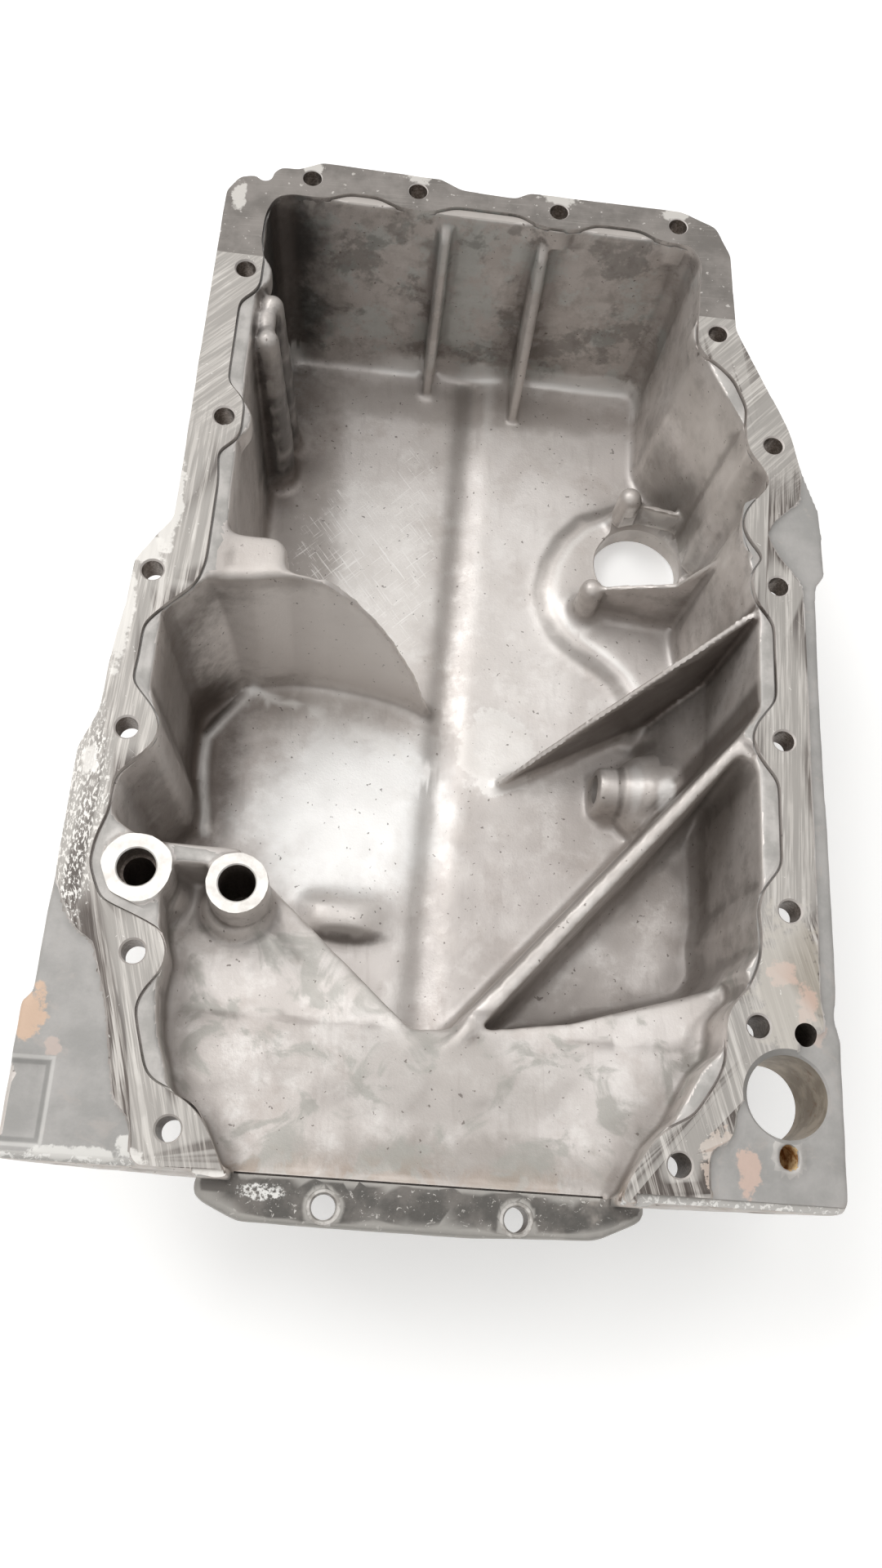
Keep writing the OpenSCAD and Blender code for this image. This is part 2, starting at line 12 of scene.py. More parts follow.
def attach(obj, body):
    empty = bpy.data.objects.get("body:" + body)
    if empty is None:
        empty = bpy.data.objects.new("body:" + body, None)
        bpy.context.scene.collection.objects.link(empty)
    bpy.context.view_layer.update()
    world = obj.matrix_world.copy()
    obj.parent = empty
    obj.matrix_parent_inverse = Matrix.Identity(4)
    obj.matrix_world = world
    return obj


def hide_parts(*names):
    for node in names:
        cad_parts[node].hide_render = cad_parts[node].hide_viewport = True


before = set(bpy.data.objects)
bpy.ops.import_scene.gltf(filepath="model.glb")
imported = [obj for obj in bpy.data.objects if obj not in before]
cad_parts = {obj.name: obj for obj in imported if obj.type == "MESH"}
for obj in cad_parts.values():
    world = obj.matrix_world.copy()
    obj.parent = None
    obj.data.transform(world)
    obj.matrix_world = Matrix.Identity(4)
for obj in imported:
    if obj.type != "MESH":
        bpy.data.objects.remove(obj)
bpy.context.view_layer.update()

MM = 0.001
SHIFT = Vector((-3.75, -225.1, 116.5))
# Metal left on the milled faces until they are cut, grid of the remesh, depth of the unevenness.
STOCK = 1.6
VOXEL = 1.15
WAVES = 0.22
TRIANGLES = 180000
# Share of the way to its neighbours' mean that a vertex moves in a round of smoothing.
PULL = 0.5

# Screw holes of the flange: their radius, and x, y and the depth of the metal round each.
SCREW_R = 4.5
SCREWS = [
    (138, 113.5, 13), (138, 186.5, 13), (138, 259.5, 13), (138, 332.5, 13), (-85, 456, 13),
    (-34, 456, 13), (35, 454, 13), (94, 454, 13), (-110, 316, 13), (-110, 397.5, 13),
    (-130, 165.5, 13), (-130, 236.5, 13), (-114.5, 76.5, 13), (113, 392, 13), (-93, 14, 20),
    (93, 14, 20), (124, 67, 20),
]
# Holes and top of the seal lip, the oil bosses, the sensor's port and the other holes.
LIP_HOLES = [(-35.5, -8.5), (35.5, -8.5)]
LIP_TOP = -14
FEED = (-118, 109)
FEED_BORE = (7.5, 6.3)
FEED_STEP = -9
FEED_R = 13.7
RETURN = (-79.5, 106)
RETURN_BORE = 7.2
RETURN_R = 12.3
SENSOR = (100, 324)
SENSOR_R = 23
WING_BORE = (135, 41.5)
WING_BORE_R = 15.7
SLOT = (134.5, 19.5)
BLIND = (142.4, 65.2)
DRAIN = (193, -96)
DRAIN_R = 7
EDGE_HOLE = (-107.4, 454.5)
EDGE_HOLE_R = 3.75
# Screw holes of the bellhousing arch, on a circle about the crankshaft's line.
ARCH_R = 157
ARCH_Z = 60
ARCH_HOLE_R = 5.5
ARCH_HOLES = [
    (round(ARCH_R * math.cos(angle), 2), round(ARCH_Z - ARCH_R * math.sin(angle), 2))
    for angle in map(math.radians, (33, 62, 118, 147))
]
# Right rail between its two far holes, where the gasket face bulges inwards without a hole.
RAIL_BULGE = [
    (136.5, 309), (124, 301), (122.5, 290), (123, 280), (129, 270), (137, 274), (133.6, 285),
    (136, 291),
]
# The bulge's middle and half length along the rail, where the edge is without it, how far it goes in.
BULGE = (290, 22, 136.3, 12.5)
# Where the gasket face's inner edge meets the seal lip, left and right.
CORNER_X = (-71.5, 70)
# The sump's floor, to the middle of the walls' feet.
FLOOR = [
    (-98.7, 440.2), (100.7, 439.2), (99.2, 383), (120, 342), (122.3, 325.5), (129.5, 316),
    (129.3, 306.7), (119.3, 299), (118.7, 284.5), (124.7, 245), (123.8, 203.5), (117.5, 192.2),
    (9.6, 66.2), (-6.3, 63.6), (-66, 116.5), (-78.5, 121.8), (-95.3, 123.3), (-115.5, 125.2),
    (-126.2, 131.8), (-126.2, 143.3), (-113.2, 159.4), (-113.2, 170.9), (-118.7, 184.9),
    (-118.8, 218), (-99.4, 237.5), (-97.2, 258), (-98.7, 345),
]
# The crease along the floor, from its near end to its far end.
CREASE_X = (-4, 2)
CREASE_Y = (100, 350)
# Heights of the floor: the land round the sensor, and the sump left and right of the crease.
FLOOR_TOP = -104
FLOOR_LEFT = -112
FLOOR_RIGHT = -109
# Middle of the long slope round the sensor's land, closed beyond the right wall.
LAND = [
    (150, 372), (118, 366), (98, 362), (84, 355.6), (70.6, 349.8), (59.9, 337.4), (53.1, 322.9),
    (50.1, 306.4), (53, 292.2), (59.2, 281.2), (68.8, 273.2), (81.9, 265.6), (91, 257.8), (97, 248),
    (100, 231), (150, 258),
]
# Floor of the near basin in front of the web's foot.
WEB_FOOT = [
    (-110, 236), (-90, 234.5), (-70, 230), (-45, 222), (-20, 211), (6, 196.5), (30, 120),
    (-110, 120),
]
# The long fin on the floor and the diagonal wall: where each starts and ends in plan.
FIN = ((24, 190), (126, 245.6))
DIAGONAL = ((9.6, 66.2), (117.5, 192.2))
# The two ribs on the far wall.
RIB_X = (-18.6, 30)
# Ridge along the foot of the left pocket's wall.
POCKET_RIDGE = [
    (-93, 236), (-105, 219), (-113, 207), (-113, 194), (-111.5, 181), (-109, 168), (-108, 158),
]
# Ridge of metal that wraps round the far side of the drain boss.
DRAIN_RIDGE = [(91, 229, -108), (108, 229, -104), (122, 215, -102), (126, 200, -102)]
# Height that takes the bend out of the ramp, where the bend is and how far it reaches.
BEND = (1.9, 60, 19)
# Shallow relief of the left wing: its right end, near and far side, depth.
RELIEF = (-137.6, 6, 35, 1.5)
# The far rail's milled face lies a little deeper than the rest of the gasket face.
FAR_STEP = [(-170, 405.4), (-60, 405.4), (60, 400.4), (170, 401.6), (170, 480), (-170, 480)]
# Steps milled into the near edge, the groove beside the seal lip and the drain washer's seat, as
# boxes from their low to their high corners.
NEAR_CUTS = [
    ((77, -3, -2.3), (165, 3.2, 6)),
    ((-83, -3, -1.9), (-69.4, 1.4, 6)),
    ((-69, 1, LIP_TOP - 0.5), (67.5, 1.7, LIP_TOP + 3)),
]
WASHER_SEAT = ((139, 170, -115), (139.9, 215, -75))
# Boxes of the drawing where the casting is rounded more, from their low to their high corners.
DRAIN_BOX = ((70, 166, -130), (134, 242, 10))
SOFT_BOXES = [
    ((-108, 228, -16), (-60, 264, 10)),
    ((74, 56, -36), (118, 112, -5)),
    ((16, 64, -76), (124, 108, -50)),
]


def at(x, y, z):
    """A point of the drawing in the row's frame, in metres."""
    return (Vector((x, y, z)) + SHIFT) * MM


def rod(bm, p, q, r, r2=None, segments=64):
    """Adds a closed cylinder or cone from point p to point q."""
    a, b = at(*p), at(*q)
    turn = (b - a).to_track_quat("Z", "Y").to_matrix().to_4x4()
    place = Matrix.Translation((a + b) / 2) @ turn
    bmesh.ops.create_cone(
        bm, cap_ends=True, segments=segments, radius1=r * MM,
        radius2=(r if r2 is None else r2) * MM, depth=(b - a).length, matrix=place)


def upright(bm, place, low, high, r, r2=None, segments=64):
    """Adds an upright closed cylinder or cone at a place of the plan."""
    rod(bm, (place[0], place[1], low), (place[0], place[1], high), r, r2, segments)


def ball(bm, centre, size):
    """Adds an ellipsoid of half axes size."""
    spread = Matrix.Diagonal((size[0] * MM, size[1] * MM, size[2] * MM, 1))
    bmesh.ops.create_uvsphere(
        bm, u_segments=32, v_segments=16, radius=1, matrix=Matrix.Translation(at(*centre)) @ spread)


def block(bm, low, high):
    """Adds a box between two corners."""
    a, b = at(*low), at(*high)
    bmesh.ops.create_cube(
        bm, size=1, matrix=Matrix.Translation((a + b) / 2) @ Matrix.Diagonal((*(b - a), 1)))


def prism(bm, outline, low, high):
    """Adds an upright prism over a closed outline of the plan."""
    base = [bm.verts.new(at(x, y, low)) for x, y in outline]
    top = [bm.verts.new(at(x, y, high)) for x, y in outline]
    bm.faces.new(base)
    bm.faces.new(list(reversed(top)))
    count = len(base)
    for i in range(count):
        k = (i + 1) % count
        bm.faces.new((base[k], base[i], top[i], top[k]))


def mesh_object(name, bm):
    """A scene object from a bmesh, which is used up."""
    bmesh.ops.recalc_face_normals(bm, faces=bm.faces)
    mesh = bpy.data.meshes.new(name)
    bm.to_mesh(mesh)
    bm.free()
    obj = bpy.data.objects.new(name, mesh)
    bpy.context.scene.collection.objects.link(obj)
    return obj


def applied(obj):
    """The object's mesh becomes what its modifiers make of it."""
    depsgraph = bpy.context.evaluated_depsgraph_get()
    mesh = bpy.data.meshes.new_from_object(obj.evaluated_get(depsgraph))
    obj.modifiers.clear()
    old = obj.data
    obj.data = mesh
    bpy.data.meshes.remove(old)


def carve(obj, bm):
    """Cuts the closed shapes of a bmesh, which mustn't overlap each other, out of the object."""
    tool = mesh_object("cutter", bm)
    cut = obj.modifiers.new("cut", "BOOLEAN")
    cut.operation = "DIFFERENCE"
    cut.solver = "MANIFOLD"
    cut.object = tool
    applied(obj)
    bpy.data.objects.remove(tool)


def numbers(items, key, width, kind=np.float32):
    """One value of every vertex, edge or face as an array."""
    out = np.empty(len(items) * width, kind)
    items.foreach_get(key, out)
    return out.reshape(-1, width) if width > 1 else out


def smoothed(mesh, rounds, weight=None):
    """Places of the vertices after each has moved towards its neighbours' mean, round by round."""
    co = numbers(mesh.vertices, "co", 3).astype(np.float64)
    ends = numbers(mesh.edges, "vertices", 2, np.int32)
    if weight is None:
        weight = np.ones(len(co))
    ends = ends[(weight[ends] > 0).any(axis=1)]
    used, ends = np.unique(ends, return_inverse=True)
    a, b = ends.reshape(-1, 2).T
    part, step, count = co[used], PULL * weight[used], len(used)
    degree = np.bincount(a, minlength=count) + np.bincount(b, minlength=count)
    for _ in range(rounds):
        for k in range(3):
            total = np.bincount(a, part[b, k], count) + np.bincount(b, part[a, k], count)
            part[:, k] += step * (total / degree - part[:, k])
    co[used] = part
    return co


def place_vertices(mesh, co):
    """Moves the mesh's vertices to row-frame places in metres."""
    mesh.vertices.foreach_set("co", co.astype(np.float32).ravel())
    mesh.update()


def relax(mesh, rounds, weight=None):
    """Rounds the mesh as cast corners are rounded."""
    place_vertices(mesh, smoothed(mesh, rounds, weight))


def drawing(co):
    """Row-frame points in metres as drawing millimetres."""
    return co / MM - np.array(SHIFT)


def place_drawing(mesh, p):
    """Moves the mesh's vertices to places given in drawing millimetres."""
    place_vertices(mesh, (p + np.array(SHIFT)) * MM)


def boxed(p, low, high):
    """Whether each point of the drawing lies in the box between two corners."""
    return ((p > low) & (p < high)).all(axis=1)


def ramp(value, low, high):
    """0 below low, 1 above high, straight between."""
    return np.clip((value - low) / (high - low), 0, 1)


def section(node, z):
    """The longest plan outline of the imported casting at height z, as points in order."""
    bm = bmesh.new()
    bm.from_mesh(node.data)
    bmesh.ops.remove_doubles(bm, verts=bm.verts, dist=1e-6)
    bmesh.ops.bisect_plane(
        bm, geom=bm.verts[:] + bm.edges[:] + bm.faces[:], dist=1e-7, plane_co=at(0, 0, z),
        plane_no=(0, 0, 1), clear_inner=True, clear_outer=True)
    loops, left = [], dict.fromkeys(bm.verts)
    while left:
        path = [left.popitem()[0]]
        ahead = path
        while ahead:
            ahead = [e.other_vert(path[-1]) for e in path[-1].link_edges]
            ahead = [v for v in ahead if v in left][:1]
            for v in ahead:
                del left[v]
            path += ahead
        loops.append(drawing(np.array([v.co for v in path]))[:, :2])
    bm.free()
    return max(loops, key=lambda p: np.hypot(*np.diff(p, axis=0).T).sum())


def opening_path(node):
    """The scalloped inner edge of the gasket face, from the left near corner to the right one.

    It bulges at the right rail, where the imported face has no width."""
    loop = section(node, -1.35)
    left, right = (np.argmin(np.hypot(loop[:, 0] - x, loop[:, 1])) for x in CORNER_X)
    loop = np.roll(loop, -left, axis=0)
    stop = (right - left) % len(loop)
    sides = loop[:stop + 1], np.vstack([loop[stop:], loop[:1]])[::-1]
    path = min(sides, key=lambda p: np.abs(p[:, 0]).max())
    path = resampled(path, 1.0)
    middle, half, edge, reach = BULGE
    bulge = 0.5 + 0.5 * np.cos(np.pi * np.clip((path[:, 1] - middle) / half, -1, 1))
    right = path[:, 0] > 100
    path[right, 0] = np.minimum(path[right, 0], edge - reach * bulge[right] ** 0.7)
    path = resampled(path, 1.0)
    for _ in range(18):
        path[1:-1] += 0.25 * (path[:-2] + path[2:] - 2 * path[1:-1])
    return beside(path, 0.5)


def resampled(path, step):
    """Points along an open path, one every step millimetres."""
    along = np.concatenate([[0], np.cumsum(np.hypot(*np.diff(path, axis=0).T))])
    marks = np.linspace(0, along[-1], int(along[-1] / step) + 1)
    return np.stack([np.interp(marks, along, path[:, k]) for k in (0, 1)], axis=1)


def beside(path, distance):
    """The path moved to its right by a distance."""
    along = np.gradient(path, axis=0)
    along /= np.linalg.norm(along, axis=1)[:, None] + 1e-9
    return path + distance * np.stack([along[:, 1], -along[:, 0]], axis=1)


def cast_blank(node):
    """The casting before machining: holes filled and stock left on every milled face."""
    bm = bmesh.new()
    bm.from_mesh(node.data)
    bmesh.ops.remove_doubles(bm, verts=bm.verts, dist=1e-6)
    rim = SHIFT.z * MM
    for v in bm.verts:
        if v.co.z > rim - 0.05 * MM:
            v.co.z += STOCK * MM
    for x, y, depth in SCREWS:
        upright(bm, (x, y), -depth + 0.1, -1.3, SCREW_R + 1.2)
    for hole in LIP_HOLES:
        upright(bm, hole, LIP_TOP - 12.9, LIP_TOP + 0.4, 5.8)
    upright(bm, FEED, -55, STOCK - 0.1, FEED_BORE[0] + 1.5)
    upright(bm, RETURN, -55, STOCK - 0.1, RETURN_BORE + 1.4)
    upright(bm, WING_BORE, -35.9, -1.3, WING_BORE_R + 1.5)
    upright(bm, SENSOR, -116.4, -104.1, SENSOR_R + 1.2)
    rod(bm, (78.1, *DRAIN), (138.9, *DRAIN), DRAIN_R + 1.2)
    for x, z in ARCH_HOLES:
        rod(bm, (x, 0.1, z), (x, 13.9, z), ARCH_HOLE_R + 1.2)
    upright(bm, BLIND, -25.5, -1.3, 5.8)
    prism(bm, FLOOR, -112.6, FLOOR_TOP)
    path = opening_path(node)
    prism(bm, np.vstack([path, beside(path, -4)[::-1]]).tolist(), -6, STOCK)
    prism(bm, RAIL_BULGE, -6, STOCK)
    fillets(bm)
    return mesh_object("casting", bm)


def wedge(bm, x, crest):
    """Adds a rib on the far wall that thickens from its crest line to the wall."""
    points = [at(x + side * 2, y, z) for y, z in crest for side in (-1, 1)]
    points += [at(x + side * 4.5, 451, z) for z in (crest[0][1], crest[-1][1]) for side in (-1, 1)]
    bmesh.ops.convex_hull(bm, input=[bm.verts.new(p) for p in points])


def fillets(bm):
    """Soft metal where bosses and posts grow out of the floor and the ramp."""
    upright(bm, (-81, 103.5), -34, -24, 17, RETURN_R - 0.2)
    upright(bm, (-116.5, 107), -36, -22, 19, FEED_R - 0.2)
    for x, y in ((91, 350.5), (71.5, 294.5)):
        upright(bm, (x, y), -106, -99, 11, 6)
    wedge(bm, RIB_X[0], [(443, -8), (438.5, -14), (422, -113)])
    wedge(bm, RIB_X[1], [(443, -10), (437.5, -18), (407.5, -113)])
    for y, foot in ((384, 14), (364, 15)):
        upright(bm, (-95.5, y), -113, -101, foot, 9.6)
    ball(bm, (-98, 374, -7.5), (4.5, 11, 4))
    for a, b in zip(POCKET_RIDGE, POCKET_RIDGE[1:]):
        rod(bm, (*a, -108), (*b, -108), 5.5)
    drain_lumps(bm)


def drain_lumps(bm):
    """The swollen flare of the drain boss and the ridge of metal that wraps round it."""
    ball(bm, (106, 193, -99), (20, 22, 15.5))
    rod(bm, (84, 193, -97), (104, 193, -97), 10.5, 16.5)
    ball(bm, (86, 193, -104), (9, 14, 8))
    for a, b, r in zip(DRAIN_RIDGE, DRAIN_RIDGE[1:], (6.5, 8, 8)):
        rod(bm, a, b, r)


def inside(path, points):
    """Whether each plan point lies inside the closed path."""
    result = np.zeros(len(points), bool)
    x, y = points[:, 0], points[:, 1]
    for (ax, ay), (bx, by) in zip(path, np.roll(path, -1, axis=0)):
        if ay != by:
            crosses = (ay > y) != (by > y)
            result ^= crosses & (x < (bx - ax) * (y - ay) / (by - ay) + ax)
    return result


def distance_to(path, x, y):
    """How far each plan point lies from an open path."""
    best = np.full(len(x), np.inf)
    for (ax, ay), (bx, by) in zip(path, path[1:]):
        dx, dy = bx - ax, by - ay
        t = np.clip(((x - ax) * dx + (y - ay) * dy) / (dx * dx + dy * dy), 0, 1)
        best = np.minimum(best, np.hypot(x - ax - t * dx, y - ay - t * dy))
    return best


def distance_in(outline, x, y):
    """How far each plan point lies inside a closed outline; below 0 outside it."""
    edge = distance_to(outline + outline[:1], x, y)
    return np.where(inside(outline, np.stack([x, y], axis=1)), edge, -edge)


def eased(value, low, high):
    """0 below low, 1 above high, an even curve between."""
    t = ramp(value, low, high)
    return t * t * (3 - 2 * t)


def floor_height(x, y):
    """Height of the sump's floor: two halves with a crease between, and the forms on them."""
    off = x - np.interp(y, CREASE_Y, CREASE_X)
    height = FLOOR_LEFT + (FLOOR_RIGHT - FLOOR_LEFT) * eased(off, 0, 18)
    height -= 1.6 * np.exp(-(off / 8) ** 2)
    height += (FLOOR_TOP - height) * eased(distance_in(LAND, x, y), -8, 7)
    across, along = x + 44, y - 121
    mound = eased(1 - np.abs(across - 4) / 27, 0, 0.75) * eased(along, -12, -3) * eased(along, 14, 8)
    height += 6.5 * mound
    disc = eased(np.hypot(x - 30, y - 213), 21, 19)
    return height + 0.6 * disc


def sculpt_floor(mesh):
    """Lowers the floor from the land's height to its own forms and draws the walls' feet along."""
    p = drawing(numbers(mesh.vertices, "co", 3).astype(np.float64))
    x, y, z = p.T
    depth = distance_in(FLOOR, x, y)
    fade = (1 - ramp(z, FLOOR_TOP, FLOOR_TOP + 24)) ** 2
    held = (depth > -3) & (z > -112) & (z < FLOOR_TOP + 24)
    p[held, 2] += ((floor_height(x, y) - FLOOR_TOP) * fade)[held]
    place_drawing(mesh, p)


def sculpt_top(mesh):
    """Takes the bend out of the ramp and sinks the shallow relief of the left wing."""
    p = drawing(numbers(mesh.vertices, "co", 3).astype(np.float64))
    x, y, z = p.T
    lift = BEND[0] * np.exp(-((y - BEND[1]) / BEND[2]) ** 2) * (np.abs(x) < 112)
    p[:, 2] += lift * eased(z, -62, -44) * eased(-z, 6, 18)
    inner = np.minimum(RELIEF[0] - x, np.minimum(y - RELIEF[1], RELIEF[2] - y))
    p[:, 2] -= RELIEF[3] * eased(inner, -0.7, 1.3) * (z > -4)
    place_drawing(mesh, p)


def press_waves(mesh):
    """Presses the faint unevenness of a casting into the whole surface."""
    draw = np.random.default_rng(5)
    co = numbers(mesh.vertices, "co", 3).astype(np.float64)
    normal = numbers(mesh.vertices, "normal", 3)
    total = np.zeros(len(co))
    for _ in range(16):
        way = draw.normal(size=3)
        way *= 2 * math.pi / (np.linalg.norm(way) * draw.uniform(9, 30) * MM)
        total += np.sin(co @ way + draw.uniform(0, 2 * math.pi))
    co -= normal * (WAVES * MM * (0.5 + 0.5 * np.clip(total / 6, -1, 1)))[:, None]
    place_vertices(mesh, co)


def thin_metal(p):
    """1 at the ribs, the fins and the web, whose edges stay fairly sharp, 0 away from them."""
    x, y, z = p.T
    near = np.zeros(len(x), bool)
    for rib in RIB_X:
        near |= (np.abs(x - rib) < 6) & (y > 398) & (z > -110)
    (ax, ay), (bx, by) = FIN
    length = math.hypot(bx - ax, by - ay)
    off = ((x - ax) * (by - ay) - (y - ay) * (bx - ax)) / length
    along = ((x - ax) * (bx - ax) + (y - ay) * (by - ay)) / length
    near |= (np.abs(off) < 5) & (along > -2) & (z > -105)
    near |= (x > 68) & (y > 286) & (y < 358) & (z > -101)
    near |= (x < 18) & (y > 222) & (y < 246) & (z > -106)
    return near.astype(float)


def scallop(obj, node):
    """The crisp step and the fine groove along the inner edge of the gasket face."""
    path = opening_path(node)
    for inner, depth in ((4.2, -1.5), (0.85, -2.9)):
        outline = np.vstack([path, beside(path, inner)[::-1]])
        bm = bmesh.new()
        prism(bm, outline.tolist(), depth, 6)
        carve(obj, bm)


def mill_faces(obj, node):
    """The gasket face with its scalloped edge, the near edge's steps and the lip holes' seats."""
    bm = bmesh.new()
    block(bm, (-170, -30, 0), (170, 480, 12))
    carve(obj, bm)
    scallop(obj, node)
    bm = bmesh.new()
    prism(bm, FAR_STEP, -0.3, 8)
    for cut in NEAR_CUTS:
        block(bm, *cut)
    for hole in LIP_HOLES:
        upright(bm, hole, LIP_TOP - 0.3, LIP_TOP + 9, 6.3, segments=48)
    carve(obj, bm)


def drill_holes(obj):
    """Every bore, cut crisp into the rounded casting."""
    bm = bmesh.new()
    for x, y, _ in SCREWS:
        upright(bm, (x, y), -40, -0.5, SCREW_R, segments=40)
    for hole in LIP_HOLES:
        upright(bm, hole, -40, 0, SCREW_R, segments=40)
    upright(bm, FEED, -50, FEED_STEP, FEED_BORE[1])
    upright(bm, RETURN, -50, 5, RETURN_BORE)
    upright(bm, WING_BORE, -60, 5, WING_BORE_R, segments=96)
    upright(bm, SENSOR, -125, -90, SENSOR_R, segments=96)
    rod(bm, (60, *DRAIN), (160, *DRAIN), DRAIN_R)
    for x, z in ARCH_HOLES:
        rod(bm, (x, -10, z), (x, 25, z), ARCH_HOLE_R)
    upright(bm, BLIND, -25, 5, SCREW_R)
    upright(bm, EDGE_HOLE, -20, 5, EDGE_HOLE_R)
    carve(obj, bm)


def chamfer_holes(obj):
    """The holes' broken edges and the washer's seat, in two rounds that keep neighbours apart."""
    bm = bmesh.new()
    for x, y, _ in SCREWS:
        upright(bm, (x, y), -0.8, 2.2, SCREW_R - 0.1, SCREW_R + 2.9, segments=40)
    for hole in LIP_HOLES:
        upright(bm, hole, LIP_TOP - 1, LIP_TOP + 1, 4.4, 6.4, segments=48)
    upright(bm, FEED, FEED_STEP - 0.5, 5, FEED_BORE[0])
    block(bm, *WASHER_SEAT)
    carve(obj, bm)
    bm = bmesh.new()
    for place, r in ((FEED, FEED_BORE[0]), (RETURN, RETURN_BORE)):
        upright(bm, place, -0.6, 2.4, r - 0.1, r + 2.9)
    upright(bm, WING_BORE, -2.4, 2.6, WING_BORE_R - 0.2, WING_BORE_R + 4.8, segments=96)
    upright(bm, SENSOR, -104.8, -99.8, SENSOR_R - 0.2, SENSOR_R + 4.8, segments=96)
    carve(obj, bm)


def shape_casting(node):
    """The detailed casting, from the frame's node."""
    obj = cast_blank(node)
    grid = obj.modifiers.new("grid", "REMESH")
    grid.mode = "VOXEL"
    grid.voxel_size = VOXEL * MM
    applied(obj)
    sculpt_floor(obj.data)
    sculpt_top(obj.data)
    relax(obj.data, 2)
    p = drawing(numbers(obj.data.vertices, "co", 3))
    z = p[:, 2]
    broad = 1 - thin_metal(p)
    relax(obj.data, 5, broad)
    drain = boxed(p, *DRAIN_BOX)
    deep = 1 - ramp(z, -100, -84)
    relax(obj.data, 26, deep * broad * ~drain)
    relax(obj.data, 6, (drain & (z < -80)).astype(float))
    soft = np.any([boxed(p, *box) for box in SOFT_BOXES], axis=0)
    relax(obj.data, 30, soft.astype(float))
    press_waves(obj.data)
    thin = obj.modifiers.new("thin", "DECIMATE")
    thin.ratio = TRIANGLES / (2.0 * len(obj.data.polygons))
    applied(obj)
    mill_faces(obj, node)
    drill_holes(obj)
    chamfer_holes(obj)
    return obj


def mark_slope_light_and_shade(mesh):
    """Stores painted shade, down to -1, on the floor's slopes, and painted highlights, up to 1, on
    their rims and the walls' feet.
    """
    x, y, z = drawing(numbers(mesh.vertices, "co", 3)).T
    land = distance_in(LAND, x, y)
    value = 0.7 * np.exp(-((land - 6) / 2.6) ** 2) - np.exp(-((land + 2) / 4.2) ** 2)
    off = x - np.interp(y, CREASE_Y, CREASE_X)
    bright = (0.1 + 0.16 * eased(y, 180, 320)) * (1 + 0.5 * np.sin(y / 21 + np.sin(y / 9)))
    value += bright * np.exp(-((off - 14) / 5) ** 2) - 0.85 * np.exp(-(off / 7) ** 2)
    inner = distance_in(FLOOR, x, y)
    value *= eased(inner, 1, 5)
    wide = 0.6 + 0.4 * np.sin(x / 9 + 1.5 * np.sin(x / 23))
    value += np.exp(-((inner - 2) / 3.2) ** 2) * (y > 420) * wide
    web = distance_in(WEB_FOOT, x, y)
    value += np.exp(-((web - 1) / 2.4) ** 2) * eased(x, -100, -84) * eased(x, 8, 0) * (y > 190)
    value += 0.55 * np.exp(-(distance_to(POCKET_RIDGE, x, y) / 3.2) ** 2)
    value *= z < -98
    layer = mesh.attributes.new("slope", "FLOAT", "POINT")
    layer.data.foreach_set("value", np.clip(value, -1, 1).astype(np.float32))


def mark_hollows(mesh):
    """Stores how deep each point lies in a hollow, or how far it stands out, from -1 to 1."""
    co = numbers(mesh.vertices, "co", 3)
    normal = numbers(mesh.vertices, "normal", 3)
    for name, rounds, reach in (("hollow", 10, 0.35), ("broad", 60, 1.6)):
        lift = ((smoothed(mesh, rounds) - co) * normal).sum(axis=1) / MM
        layer = mesh.attributes.new(name, "FLOAT", "POINT")
        layer.data.foreach_set("value", np.clip(lift / reach, -1, 1).astype(np.float32))


# Places of a colour mix node's two colours among its inputs, and of its result among its outputs.
MIX_A = 6
MIX_B = 7
MIX_RESULT = 2


def tone(r, g, b):
    """A display colour of 0 to 255 as linear values."""
    return tuple(((c / 255 + 0.055) / 1.055) ** 2.4 if c > 10 else c / 3295 for c in (r, g, b)) + (1,)


